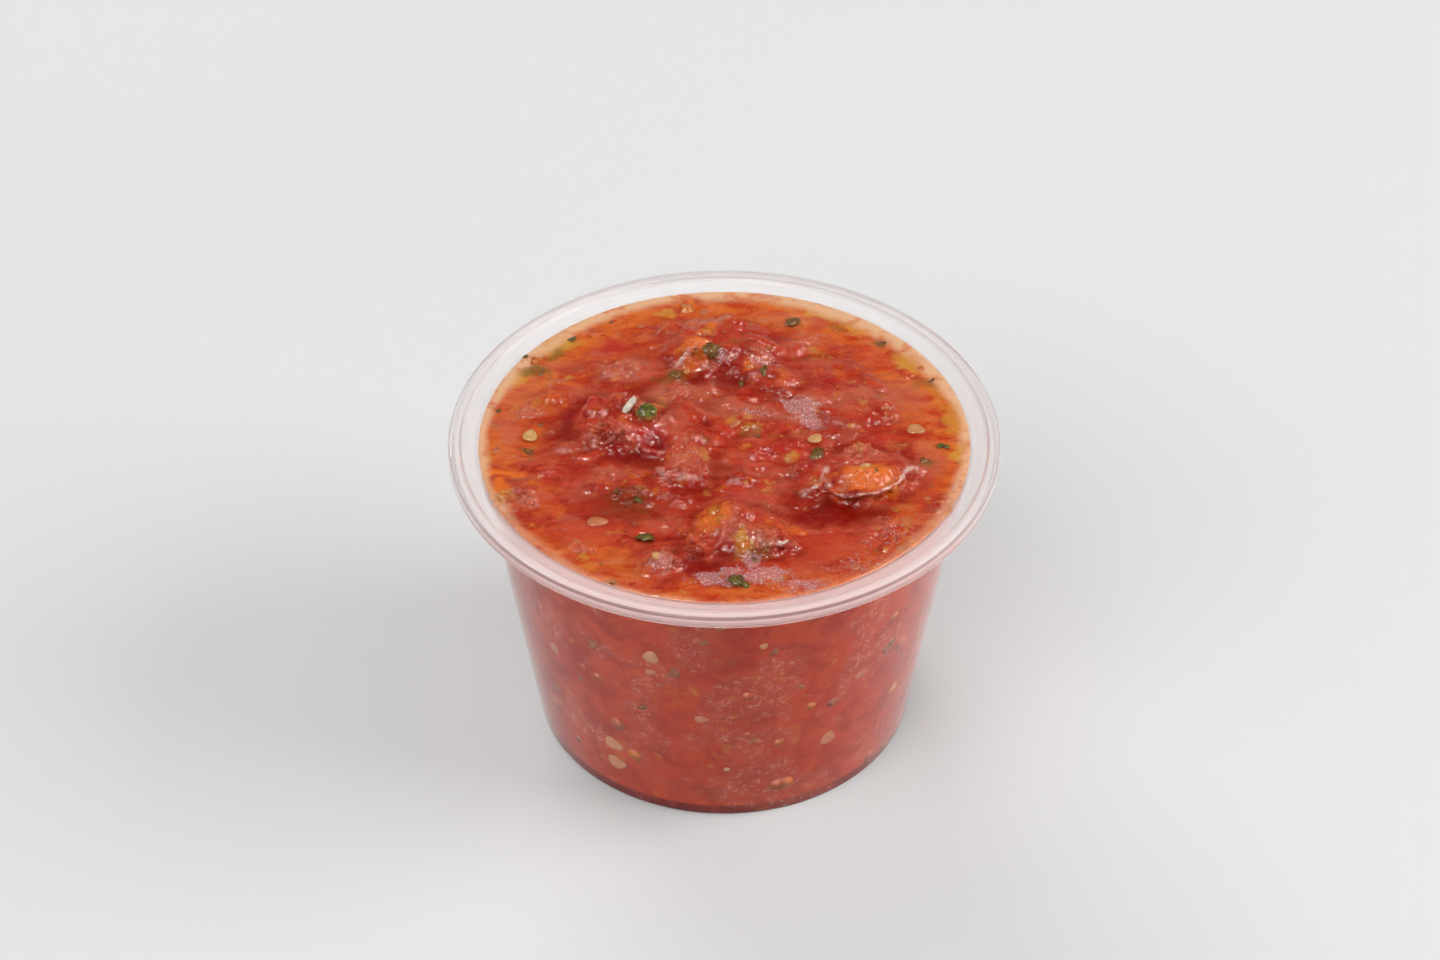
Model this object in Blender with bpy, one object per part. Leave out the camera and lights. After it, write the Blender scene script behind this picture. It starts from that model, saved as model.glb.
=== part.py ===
"""A clear plastic portion cup filled to the brim with crushed spicy tomato salad.

The cup stands on the XY plane with its axis on +Z and its origin under the middle of its
foot. The salad is one body: a core that fills the cup, with its mounds and hollows as relief,
and the flakes, lumps, seeds and green bits that show on top fused to it. Lengths in metres.
"""
import math
import random

import bmesh
import bpy
from mathutils import Euler, Matrix, Vector, noise

MM = 0.001

# The cup's driving dimensions
HEIGHT = 46.2 * MM
RIM_RADIUS = 37.0 * MM
MOUTH_RADIUS = 35.0 * MM
BASE_RADIUS = 25.93 * MM
TAPER = 0.1535
WALL = 0.5 * MM

# The standing foot is a flat ring round a slightly raised panel
FOOT_WIDTH = 2.6 * MM
FOOT_RISE = 0.9 * MM
FOOT_SLOPE = 0.9 * MM
CORNER_RADIUS = 1.2 * MM

# The wall bends out into a flat shelf, and the rim's bead stands a little above the shelf
BEND_RADIUS = 1.2 * MM
SHELF_TOP = HEIGHT - 0.6 * MM
BEAD_CORNER = 0.4 * MM
BEAD_STEP = 0.3 * MM
SKIRT_LOW = HEIGHT - 1.6 * MM
SEGMENTS = 56
ARC_STEPS = 3

# The salad keeps a small clearance to the cup, and its juice stands just under the shelf
GAP = 0.3 * MM
LEVEL = 45.35 * MM
RINGS = 19
RELIEF_FADE = 2.4 * MM
CORE_DOME = 0.5 * MM
FINE_RELIEF = 0.55 * MM
FINE_CELL = 4.2 * MM
SEED_VALUE = 11

# Mounds of pulp: centre x, centre y, half length, half width, turn in degrees, height
MOUNDS = (
    (-14.0 * MM, 2.0 * MM, 7.0 * MM, 5.0 * MM, -10, 2.1 * MM),
    (-5.5 * MM, 0.0, 9.0 * MM, 3.6 * MM, 95, 1.6 * MM),
    (-1.0 * MM, 19.5 * MM, 9.5 * MM, 6.0 * MM, -8, 1.8 * MM),
    (6.5 * MM, 12.5 * MM, 5.0 * MM, 3.2 * MM, -35, 0.9 * MM),
    (17.5 * MM, 7.5 * MM, 9.0 * MM, 6.0 * MM, 15, 0.9 * MM),
    (17.5 * MM, -7.5 * MM, 8.5 * MM, 4.2 * MM, 12, 1.5 * MM),
    (2.5 * MM, -19.0 * MM, 6.5 * MM, 4.6 * MM, -8, 1.6 * MM),
    (-9.0 * MM, -25.0 * MM, 3.2 * MM, 2.6 * MM, 10, 1.1 * MM),
    (-26.0 * MM, -11.0 * MM, 3.6 * MM, 2.8 * MM, -30, 0.8 * MM),
    (-23.0 * MM, 9.0 * MM, 4.5 * MM, 3.0 * MM, 40, 0.7 * MM),
)

# Hollows where dark juice stands: centre x, centre y, half length, half width, turn, depth
HOLLOWS = (
    (-10.0 * MM, -5.0 * MM, 4.0 * MM, 2.0 * MM, -20, 0.9 * MM),
    (0.5 * MM, 12.0 * MM, 3.4 * MM, 1.8 * MM, -10, 1.0 * MM),
    (17.0 * MM, -17.5 * MM, 7.0 * MM, 1.8 * MM, 14, 0.8 * MM),
    (-2.5 * MM, -26.0 * MM, 4.0 * MM, 1.6 * MM, -8, 0.7 * MM),
    (-16.0 * MM, -14.0 * MM, 6.0 * MM, 3.0 * MM, 10, 0.5 * MM),
)

# Tomato flakes that stand out of the pulp: name, middle of the front lip (x, y), length,
# depth from lip to back, turn in degrees, height of the lip, bow of the lip
FLAKES = (
    ("flake_right", (18.0 * MM, -15.4 * MM), 15.5 * MM, 8.0 * MM, 16, 2.3 * MM, 3.0 * MM),
    ("flake_right_fold", (11.6 * MM, -14.8 * MM), 5.0 * MM, 5.0 * MM, -14, 1.7 * MM, 1.0 * MM),
    ("flake_front", (0.6 * MM, -24.2 * MM), 9.0 * MM, 8.0 * MM, -6, 2.1 * MM, 2.2 * MM),
    ("flake_front_fold", (7.6 * MM, -22.0 * MM), 6.0 * MM, 6.0 * MM, 26, 1.8 * MM, 1.4 * MM),
    ("flake_left", (-14.2 * MM, -3.4 * MM), 9.0 * MM, 7.0 * MM, -8, 2.2 * MM, 2.0 * MM),
    ("flake_middle", (-5.4 * MM, -9.8 * MM), 6.4 * MM, 9.0 * MM, 4, 1.9 * MM, 1.4 * MM),
    ("flake_back", (-3.6 * MM, 14.8 * MM), 8.0 * MM, 7.0 * MM, -4, 2.3 * MM, 1.6 * MM),
    ("flake_back_right", (4.6 * MM, 13.6 * MM), 6.0 * MM, 5.0 * MM, -24, 1.5 * MM, 1.2 * MM),
)
FLAKE_THICKNESS = 0.9 * MM
FLAKE_ROOT = 3.0 * MM
FLAKE_SINK = 0.6 * MM
FLAKE_STEPS_LONG = 10
FLAKE_STEPS_DEEP = 5

# Lumps of pulp that stand half out of the surface: x, y, radius
LUMPS = (
    (-17.6, 3.8, 2.2), (-13.6, 4.6, 2.4), (-9.4, 4.2, 2.0), (-18.8, -0.6, 1.7), (-12.2, 0.4, 2.1),
    (-4.4, 18.2, 1.8), (0.4, 16.6, 1.7), (4.0, 17.8, 1.9), (-6.8, 21.6, 2.2), (2.2, 22.2, 2.4),
    (1.4, -18.0, 2.3), (-2.4, -21.0, 1.9), (5.4, -18.2, 1.8), (3.2, -23.2, 1.4), (-4.4, -18.2, 1.5),
    (-9.6, -26.0, 1.7), (-7.0, -25.0, 1.3), (-11.8, -24.6, 1.2),
    (-27.4, -11.8, 1.6), (-24.8, -12.6, 1.3), (-24.6, 7.2, 1.4), (-22.2, 9.4, 1.2),
    (23.6, -6.4, 1.5), (14.2, -8.6, 1.6), (8.0, -3.4, 1.5), (15.0, -1.6, 1.3),
    (-14.4, -14.6, 1.5), (-19.2, -8.6, 1.3), (9.8, 3.2, 1.4), (-3.0, 9.4, 1.6),
)
LUMP_ROUGHNESS = 0.30
LUMP_FLATNESS = 0.72
LUMP_SINK = 0.35

# Orange and yellow dice: x, y, size
DICE = (
    (-0.6, -17.2, 2.8), (3.0, -22.6, 2.4), (-3.0, 17.4, 2.4), (2.6, 14.6, 1.6), (-27.8, -12.6, 2.0),
    (29.6, -4.2, 2.0), (12.0, 27.0, 2.0), (1.6, 2.6, 1.8), (-9.0, 5.4, 1.8), (21.0, -11.8, 2.2),
)
DICE_HEIGHT = 0.75

# Seeds: x, y, length, turn in degrees
SEEDS = (
    (-26.0, 0.4, 2.6, 70), (12.2, -0.4, 2.5, 20), (25.6, 1.8, 2.8, -30), (-16.6, -17.0, 3.1, 12),
    (18.4, -8.8, 2.2, 50), (5.4, 1.6, 2.2, 110), (-20.6, 20.8, 2.3, 35), (22.6, 20.2, 2.4, -50),
    (-30.2, 3.4, 2.2, 80), (14.6, 26.2, 2.4, 5), (29.2, -8.6, 2.3, -70), (-5.0, -29.0, 2.2, 25),
    (26.2, -17.4, 2.3, 130), (-12.6, 14.2, 2.3, 150),
)
SEED_WIDTH = 0.80
SEED_HEIGHT = 0.42

# Green bits of herb and chilli: x, y, size, turn in degrees
GREENS = (
    (-10.8, 5.6, 3.0, 20), (9.0, 25.6, 2.9, 5), (12.4, -4.2, 2.8, -25), (-9.9, -20.2, 2.0, 15),
    (2.0, -29.0, 2.9, -10), (-1.7, 15.8, 2.6, 40), (-26.3, -2.8, 2.2, 10), (-11.2, -14.0, 1.9, -15),
    (-21.2, 21.6, 1.7, 0), (29.0, -1.4, 1.7, -40), (-25.0, 13.6, 2.4, 25), (3.8, 0.8, 2.2, 60),
    (-14.2, -11.6, 2.2, -20), (5.6, 14.8, 1.9, 75), (-5.6, 15.4, 2.0, 95), (-29.8, 6.0, 1.5, 80),
    (4.2, -22.8, 1.5, 30), (21.8, 21.8, 1.8, -45), (-14.2, -28.4, 1.7, 30), (26.6, -4.2, 1.9, 15),
    (-16.6, 12.6, 1.6, 50), (16.8, 15.4, 1.6, 120),
)
GREEN_HEIGHT = 0.30
GREEN_SIDES = 5
PIECE_PROUD = 0.35


def clear_scene():
    """Remove every object, so that the model starts from nothing."""
    for thing in list(bpy.data.objects):
        bpy.data.objects.remove(thing, do_unlink=True)


def material(name, colour, roughness, transmission=0.0):
    """Return a Principled material."""
    made = bpy.data.materials.new(name)
    made.use_nodes = True
    shader = made.node_tree.nodes["Principled BSDF"]
    shader.inputs["Base Color"].default_value = (*colour, 1.0)
    shader.inputs["Roughness"].default_value = roughness
    shader.inputs["Metallic"].default_value = 0.0
    shader.inputs["Transmission Weight"].default_value = transmission
    made.diffuse_color = (*colour, 1.0)
    return made


def arc(centre, radius, start, end, steps=ARC_STEPS):
    """Return points of an arc in the (radius, height) plane, its angles in degrees."""
    points = []
    for step in range(steps + 1):
        angle = math.radians(start + (end - start) * step / steps)
        points.append((centre[0] + radius * math.cos(angle), centre[1] + radius * math.sin(angle)))
    return points


def offset_inward(points, distance):
    """Shift an outline, which runs from the axis out and up, towards the inside of the cup."""
    normals = []
    for (r0, z0), (r1, z1) in zip(points, points[1:]):
        length = math.hypot(r1 - r0, z1 - z0)
        normals.append((-(z1 - z0) / length, (r1 - r0) / length))
    shifted = []
    for index, (r, z) in enumerate(points):
        before = normals[max(index - 1, 0)]
        after = normals[min(index, len(normals) - 1)]
        share = 1.0 + before[0] * after[0] + before[1] * after[1]
        shifted.append((r + distance * (before[0] + after[0]) / share,
                        z + distance * (before[1] + after[1]) / share))
    return shifted


def wall_angle():
    """Return the wall's lean from the vertical, in degrees."""
    return math.degrees(math.atan(TAPER))


def bend_centre():
    """Return the centre of the bend that turns the wall out into the shelf."""
    lean = math.radians(wall_angle())
    height = SHELF_TOP - WALL - BEND_RADIUS
    start_height = height + BEND_RADIUS * math.sin(lean)
    start_radius = BASE_RADIUS + TAPER * start_height
    return start_radius + BEND_RADIUS * math.cos(lean), height


def outside_outline():
    """Return the outside of foot, wall and bend, from the axis to the start of the shelf."""
    lean = wall_angle()
    foot_outer = BASE_RADIUS - CORNER_RADIUS * (1.0 / math.cos(math.radians(lean))
                                                - math.tan(math.radians(lean)))
    foot_inner = foot_outer - FOOT_WIDTH
    outline = [(0.0, FOOT_RISE), (foot_inner - FOOT_SLOPE, FOOT_RISE), (foot_inner, 0.0)]
    outline += arc((foot_outer, CORNER_RADIUS), CORNER_RADIUS, -90, -lean)
    outline += arc(bend_centre(), BEND_RADIUS, 180 - lean, 90)
    return outline


def rim_outline(shelf_under, shelf_over):
    """Return the shelf, bead and skirt, from the underside of the shelf round to its top."""
    inner_skirt = RIM_RADIUS - WALL
    return [
        (MOUTH_RADIUS + BEAD_STEP, shelf_under),
        (MOUTH_RADIUS + 2 * BEAD_STEP, HEIGHT - WALL),
        (inner_skirt - BEAD_CORNER, HEIGHT - WALL),
        (inner_skirt, HEIGHT - WALL - BEAD_CORNER),
        (inner_skirt, SKIRT_LOW),
        (RIM_RADIUS, SKIRT_LOW),
        *arc((RIM_RADIUS - BEAD_CORNER, HEIGHT - BEAD_CORNER), BEAD_CORNER, 0, 90),
        (MOUTH_RADIUS + BEAD_STEP, HEIGHT),
        (MOUTH_RADIUS, shelf_over),
    ]


def cup_outline():
    """Return the whole closed outline of the cup's wall, from the axis under to the axis over."""
    outside = outside_outline()
    inside = offset_inward(outside, WALL)
    rim = rim_outline(outside[-1][1], inside[-1][1])
    return outside + rim + inside[::-1]


def ring_angles():
    """Return the angles of the points round the axis."""
    return [2.0 * math.pi * number / SEGMENTS for number in range(SEGMENTS)]


def add_ring(bm, radius, height):
    """Add the vertices of one ring, or one vertex where the ring has shrunk to the axis."""
    if radius <= 0.0:
        return [bm.verts.new((0.0, 0.0, height))]
    return [bm.verts.new((radius * math.cos(angle), radius * math.sin(angle), height))
            for angle in ring_angles()]


def bridge_rings(bm, lower, upper):
    """Join two rings of an outline that runs outward and up, with faces pointing outward."""
    for number in range(SEGMENTS):
        following = (number + 1) % SEGMENTS
        if len(lower) == 1:
            bm.faces.new((lower[0], upper[following], upper[number]))
        elif len(upper) == 1:
            bm.faces.new((lower[number], lower[following], upper[0]))
        else:
            bm.faces.new((lower[number], lower[following], upper[following], upper[number]))


def finish_object(name, bm, surface, sharp_angle):
    """Turn a bmesh into a smooth-shaded object of the scene."""
    bmesh.ops.recalc_face_normals(bm, faces=bm.faces)
    mesh = bpy.data.meshes.new(name)
    bm.to_mesh(mesh)
    bm.free()
    mesh.materials.append(surface)
    mesh.shade_smooth()
    mesh.set_sharp_from_angle(angle=math.radians(sharp_angle))
    made = bpy.data.objects.new(name, mesh)
    bpy.context.scene.collection.objects.link(made)
    return made


def make_cup(surface):
    """Turn the cup's outline round the axis."""
    bm = bmesh.new()
    rings = [add_ring(bm, radius, height) for radius, height in cup_outline()]
    for lower, upper in zip(rings, rings[1:]):
        bridge_rings(bm, lower, upper)
    return finish_object("cup", bm, surface, 40)


def smooth_step(low, high, value):
    """Return 0 below low and 1 above high, with an easy change between them."""
    share = min(max((value - low) / (high - low), 0.0), 1.0)
    return share * share * (3.0 - 2.0 * share)


def patch(x, y, place):
    """Return how far inside an oval patch a point is: 1 on its flat top, 0 outside it."""
    centre_x, centre_y, half_length, half_width, turn = place
    angle = math.radians(turn)
    along = (x - centre_x) * math.cos(angle) + (y - centre_y) * math.sin(angle)
    across = (y - centre_y) * math.cos(angle) - (x - centre_x) * math.sin(angle)
    return 1.0 - smooth_step(0.45, 1.1, math.hypot(along / half_length, across / half_width))


def edge_radius():
    """Return the radius at which the juice meets its clearance to the bend of the wall."""
    centre_r, centre_z = bend_centre()
    reach = BEND_RADIUS + WALL + GAP
    return centre_r - math.sqrt(reach ** 2 - (LEVEL - centre_z) ** 2)


def surface_height(x, y):
    """Return the height of the salad's surface, mounds and hollows included."""
    radius = math.hypot(x, y)
    fade = 1.0 - smooth_step(edge_radius() - RELIEF_FADE, edge_radius(), radius)
    height = CORE_DOME * (1.0 - (radius / edge_radius()) ** 2)
    height += max(patch(x, y, mound[:5]) * mound[5] for mound in MOUNDS)
    height -= max(patch(x, y, hollow[:5]) * hollow[5] for hollow in HOLLOWS)
    height += FINE_RELIEF * noise.noise(Vector((x, y, 0.0)) / FINE_CELL)
    return LEVEL + height * fade


def make_core(surface):
    """Fill the cup, clear of it all round, up to the uneven surface."""
    side = [point for point in offset_inward(outside_outline(), WALL + GAP)
            if point[1] < LEVEL - GAP]
    bm = bmesh.new()
    rings = [add_ring(bm, radius, height) for radius, height in side]
    for number in range(RINGS, -1, -1):
        rings.append(add_ring(bm, edge_radius() * number / RINGS, LEVEL))
    for vert in (vert for ring in rings[len(side):] for vert in ring):
        vert.co.z = surface_height(vert.co.x, vert.co.y)
    for lower, upper in zip(rings, rings[1:]):
        bridge_rings(bm, lower, upper)
    bmesh.ops.triangulate(bm, faces=bm.faces)
    return finish_object("salad", bm, surface, 60)


def make_flake(name, place, length, depth, turn, lip, bow, surface):
    """Make a bent slab whose bowed front lip stands out of the pulp and whose back sinks in."""
    angle = math.radians(turn)
    base = surface_height(place[0], place[1] + depth / 2)
    bm = bmesh.new()
    layers = []
    for thickness, root in ((0.0, 0.0), (FLAKE_THICKNESS, FLAKE_ROOT)):
        rows = []
        for step in range(FLAKE_STEPS_LONG + 1):
            along = 2.0 * step / FLAKE_STEPS_LONG - 1.0
            end = 1.0 - along ** 2
            row = []
            for deep in range(FLAKE_STEPS_DEEP + 1):
                back = deep / FLAKE_STEPS_DEEP
                x = length / 2 * along * (1.0 - 0.25 * back)
                y = bow * (1.0 - end) + depth * back * (0.35 + 0.65 * end)
                rise = lip * (1.0 - back) ** 2 * (0.45 + 0.55 * end) - FLAKE_SINK * back
                ripple = FINE_RELIEF * noise.noise(Vector((x, y, lip)) / FLAKE_SINK / 4)
                drop = thickness + root * smooth_step(0.1, 0.5, max(back, along ** 4))
                row.append(bm.verts.new((
                    place[0] + x * math.cos(angle) - y * math.sin(angle),
                    place[1] + x * math.sin(angle) + y * math.cos(angle),
                    base + rise - lip / 2 + ripple / 2 - drop)))
            rows.append(row)
        layers.append(rows)
    top, under = layers
    for step in range(FLAKE_STEPS_LONG):
        for deep in range(FLAKE_STEPS_DEEP):
            corners = ((step, deep), (step + 1, deep), (step + 1, deep + 1), (step, deep + 1))
            bm.faces.new([top[i][j] for i, j in corners])
            bm.faces.new([under[i][j] for i, j in reversed(corners)])
    border = [(step, 0) for step in range(FLAKE_STEPS_LONG)]
    border += [(FLAKE_STEPS_LONG, deep) for deep in range(FLAKE_STEPS_DEEP)]
    border += [(step, FLAKE_STEPS_DEEP) for step in range(FLAKE_STEPS_LONG, 0, -1)]
    border += [(0, deep) for deep in range(FLAKE_STEPS_DEEP, 0, -1)]
    for (i, j), (k, l) in zip(border, border[1:] + border[:1]):
        bm.faces.new((under[i][j], under[k][l], top[k][l], top[i][j]))
    bmesh.ops.triangulate(bm, faces=bm.faces)
    return finish_object(name, bm, surface, 60)


def place_mesh(name, bm, x, y, lift, turn, tilt, surface):
    """Put a small piece on the surface, turned and slightly tilted."""
    here = Vector((x, y, surface_height(x, y) + lift))
    spin = Euler((math.radians(tilt[0]), math.radians(tilt[1]), math.radians(turn))).to_matrix()
    bmesh.ops.transform(bm, matrix=Matrix.Translation(here) @ spin.to_4x4(), verts=bm.verts)
    return finish_object(name, bm, surface, 60)


def make_lump(name, x, y, radius, surface, rng):
    """Make a rough rounded lump of pulp."""
    bm = bmesh.new()
    bmesh.ops.create_icosphere(bm, subdivisions=2, radius=radius)
    shift = Vector((rng.uniform(-1, 1), rng.uniform(-1, 1), rng.uniform(-1, 1)))
    for vert in bm.verts:
        vert.co *= 1.0 + LUMP_ROUGHNESS * noise.noise(vert.co / radius * 1.4 + shift * 10)
        vert.co.z *= LUMP_FLATNESS
    tilt = (rng.uniform(-20, 20), rng.uniform(-20, 20))
    return place_mesh(name, bm, x, y, -LUMP_SINK * radius, rng.uniform(0, 360), tilt, surface)


def make_dice(name, x, y, size, surface, rng):
    """Make an uneven cut cube."""
    bm = bmesh.new()
    bmesh.ops.create_cube(bm, size=size)
    for vert in bm.verts:
        vert.co.z *= DICE_HEIGHT
        vert.co *= rng.uniform(0.8, 1.1)
    tilt = (rng.uniform(-15, 15), rng.uniform(-15, 15))
    return place_mesh(name, bm, x, y, 0.1 * size, rng.uniform(0, 90), tilt, surface)


def make_seed(name, x, y, length, turn, surface, rng):
    """Make a flat seed, pointed at one end."""
    bm = bmesh.new()
    bmesh.ops.create_uvsphere(bm, u_segments=6, v_segments=4, radius=length / 2)
    for vert in bm.verts:
        vert.co.y *= SEED_WIDTH * (1.0 - 0.25 * vert.co.x / length)
        vert.co.z *= SEED_HEIGHT
    tilt = (rng.uniform(-12, 12), rng.uniform(-12, 12))
    lift = PIECE_PROUD * SEED_HEIGHT * length / 2
    return place_mesh(name, bm, x, y, lift, turn, tilt, surface)


def make_green(name, x, y, size, turn, surface, rng):
    """Make a small cut bit of green with uneven straight sides."""
    bm = bmesh.new()
    thickness = GREEN_HEIGHT * size
    bmesh.ops.create_cone(bm, cap_ends=True, segments=GREEN_SIDES, radius1=size / 2,
                          radius2=0.42 * size, depth=2 * thickness)
    for vert in bm.verts:
        vert.co.x *= 1.0 + rng.uniform(-0.2, 0.2)
        vert.co.y *= 0.75 + rng.uniform(-0.15, 0.15)
    tilt = (rng.uniform(-18, 18), rng.uniform(-18, 18))
    return place_mesh(name, bm, x, y, PIECE_PROUD * thickness, turn, tilt, surface)


def make_pieces(surface):
    """Make everything that stands on the core and return it as a list of objects."""
    rng = random.Random(SEED_VALUE)
    pieces = [make_flake(*row, surface) for row in FLAKES]
    for number, (x, y, radius) in enumerate(LUMPS):
        pieces.append(make_lump(f"lump_{number}", x * MM, y * MM, radius * MM, surface, rng))
    for number, (x, y, size) in enumerate(DICE):
        pieces.append(make_dice(f"dice_{number}", x * MM, y * MM, size * MM, surface, rng))
    for number, (x, y, length, turn) in enumerate(SEEDS):
        pieces.append(make_seed(f"seed_{number}", x * MM, y * MM, length * MM, turn, surface, rng))
    for number, (x, y, size, turn) in enumerate(GREENS):
        pieces.append(make_green(f"green_{number}", x * MM, y * MM, size * MM, turn, surface, rng))
    return pieces


def keep_largest_body(mesh):
    """Drop loose scraps and the shells of sealed hollows, so that one closed body is left."""
    bm = bmesh.new()
    bm.from_mesh(mesh)
    left = set(bm.verts)
    groups = []
    while left:
        group = {left.pop()}
        front = list(group)
        while front:
            for edge in front.pop().link_edges:
                for vert in edge.verts:
                    if vert in left:
                        left.discard(vert)
                        group.add(vert)
                        front.append(vert)
        groups.append(group)
    groups.sort(key=len)
    scraps = [vert for group in groups[:-1] for vert in group]
    bmesh.ops.delete(bm, geom=scraps, context="VERTS")
    bm.to_mesh(mesh)
    bm.free()


def fuse(core, pieces):
    """Join the pieces to the core by one union, and remove them."""
    group = bpy.data.collections.new("pieces")
    bpy.context.scene.collection.children.link(group)
    for piece in pieces:
        bpy.context.scene.collection.objects.unlink(piece)
        group.objects.link(piece)
    union = core.modifiers.new("union", "BOOLEAN")
    union.operation = "UNION"
    union.operand_type = "COLLECTION"
    union.collection = group
    union.solver = "EXACT"
    depsgraph = bpy.context.evaluated_depsgraph_get()
    fused = bpy.data.meshes.new_from_object(core.evaluated_get(depsgraph))
    core.modifiers.clear()
    keep_largest_body(fused)
    core.data = fused
    fused.name = core.name
    for piece in pieces:
        bpy.data.objects.remove(piece, do_unlink=True)
    bpy.data.collections.remove(group)


def main():
    """Build the cup and the salad in it."""
    clear_scene()
    plastic = material("clear_plastic", (0.95, 0.94, 0.94), 0.08, transmission=0.9)
    pulp = material("tomato_pulp", (0.62, 0.075, 0.03), 0.22)
    make_cup(plastic)
    salad = make_core(pulp)
    fuse(salad, make_pieces(pulp))


main()
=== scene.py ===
"""The looks of a clear portion cup filled to the brim with crushed spicy tomato salad.

Shapes are worked out in millimetres, in the frame of the CAD model, and scaled to metres when
they become objects. The origin is under the middle of the cup's foot, and +Z is up.
"""

import math
import random

import bmesh
import bpy
import numpy as np
from mathutils import Euler, Matrix, Vector
from mathutils.bvhtree import BVHTree


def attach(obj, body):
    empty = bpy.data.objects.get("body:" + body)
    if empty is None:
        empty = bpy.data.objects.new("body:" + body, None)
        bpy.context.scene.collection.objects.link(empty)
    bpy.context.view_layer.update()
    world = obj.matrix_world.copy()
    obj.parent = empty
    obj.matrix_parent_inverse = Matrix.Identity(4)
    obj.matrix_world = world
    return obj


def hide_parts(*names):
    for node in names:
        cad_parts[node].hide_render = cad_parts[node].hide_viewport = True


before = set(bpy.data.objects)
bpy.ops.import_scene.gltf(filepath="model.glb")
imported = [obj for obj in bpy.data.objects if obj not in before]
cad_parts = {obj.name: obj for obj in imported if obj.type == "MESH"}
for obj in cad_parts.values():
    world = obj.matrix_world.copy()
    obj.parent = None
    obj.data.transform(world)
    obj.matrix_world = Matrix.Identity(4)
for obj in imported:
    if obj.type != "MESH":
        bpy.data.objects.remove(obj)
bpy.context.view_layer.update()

MM = 0.001

# The camera, as worked out from the outlines of the rim, the base and the wall
CAMERA_TARGET = (-0.575, 0.0, 38.234)
CAMERA_DISTANCE = 501.2
CAMERA_ELEVATION = 39.81
FIELD_OF_VIEW = 22.0

# Soft lights, in metres: name, azimuth and elevation in degrees, size and power in watts. The
# broad ones light the scene, and the small ones are what wet and shiny surfaces mirror.
LIGHT_DISTANCE = 0.9
LIGHTS = (
    ("softbox_right", -4, 30, 0.6, 5.2),
    ("softbox_front", 240, 50, 0.6, 2.8),
    ("softbox_left", 210, 30, 0.6, 1.1),
    ("softbox_back", 115, 30, 0.6, 3.3),
)
GLINTS = (
    ("glint_right", -4, 50, 0.22, 3.4),
    ("glint_front", 250, 55, 0.22, 4.0),
    ("glint_left", 200, 50, 0.22, 1.5),
)
GLINT_COLOUR = (1.0, 0.88, 0.82)

# How strongly the white world lights the scene and is mirrored, and how bright it looks
WORLD_LIGHT = 0.25
WORLD_MIRRORED = 0.05
WORLD_SEEN = 0.7

# How far the floor reaches to each side
FLOOR_REACH = 1600.0

# The cup
HEIGHT = 46.2
RIM_RADIUS = 37.0
MOUTH_RADIUS = 35.0
BASE_RADIUS = 25.93
TAPER = 0.1535
WALL = 0.5
FOOT_WIDTH = 2.6
FOOT_RISE = 0.9
FOOT_SLOPE = 0.9
CORNER_RADIUS = 1.2
BEND_RADIUS = 1.2
SHELF_TOP = HEIGHT - 0.6
BEAD_CORNER = 0.4
BEAD_STEP = 0.3
SKIRT_LOW = HEIGHT - 1.6
CUP_SEGMENTS = 192
CUP_ARC_STEPS = 8
EDGE_SOFTNESS = 0.12
EDGE_ANGLE = 25

# The salad reaches a little way into the wall, so that no air shows between them
BITE = 0.12
LEVEL = 45.38
CORE_DOME = 0.5
CRUST_LOW = 42.6
CUT_HEIGHT = 43.4
VOXEL = 0.31
CORE_RINGS = 100
CORE_SEGMENTS = 560
CRUST_RINGS = 10
MENISCUS_WIDTH = 1.5
SIDE_LOW = 3.0
SIDE_RINGS = 6

# Every patch below is an oval that is full up to the first of these shares of its half length
# and half width, and ends at the second
PATCH_SHARES = (0.45, 1.1)

# Mounds of pulp: centre x, centre y, half length, half width, turn in degrees, height
MOUNDS = (
    (-14.0, 2.0, 7.0, 5.0, -10, 2.1), (-5.5, 0.0, 9.0, 3.6, 95, 1.3), (-1.0, 19.5, 9.5, 6.0, -8, 1.8),
    (6.5, 12.5, 5.0, 3.2, -35, 0.9), (17.5, 7.5, 9.0, 6.0, 15, 0.9), (17.5, -7.5, 8.5, 4.2, 12, 1.5),
    (2.5, -19.0, 6.5, 4.6, -8, 1.6), (-9.0, -25.0, 3.2, 2.6, 10, 1.1),
    (-26.0, -11.0, 3.6, 2.8, -30, 0.8), (-23.0, 9.0, 4.5, 3.0, 40, 0.7),
)

# Hollows in the pulp, where the juice stands and painted shade darkens it: centre x, centre y, half
# length, half width, turn, depth
HOLLOWS = (
    (-10.0, -5.0, 4.0, 2.0, -20, 0.9), (0.5, 12.0, 3.4, 1.8, -10, 1.0), (14.4, -16.4, 7.5, 2.4, 8, 1.3),
    (-2.5, -26.0, 4.0, 1.6, -8, 0.7), (-16.0, -14.0, 6.0, 3.0, 10, 0.5),
)
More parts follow.
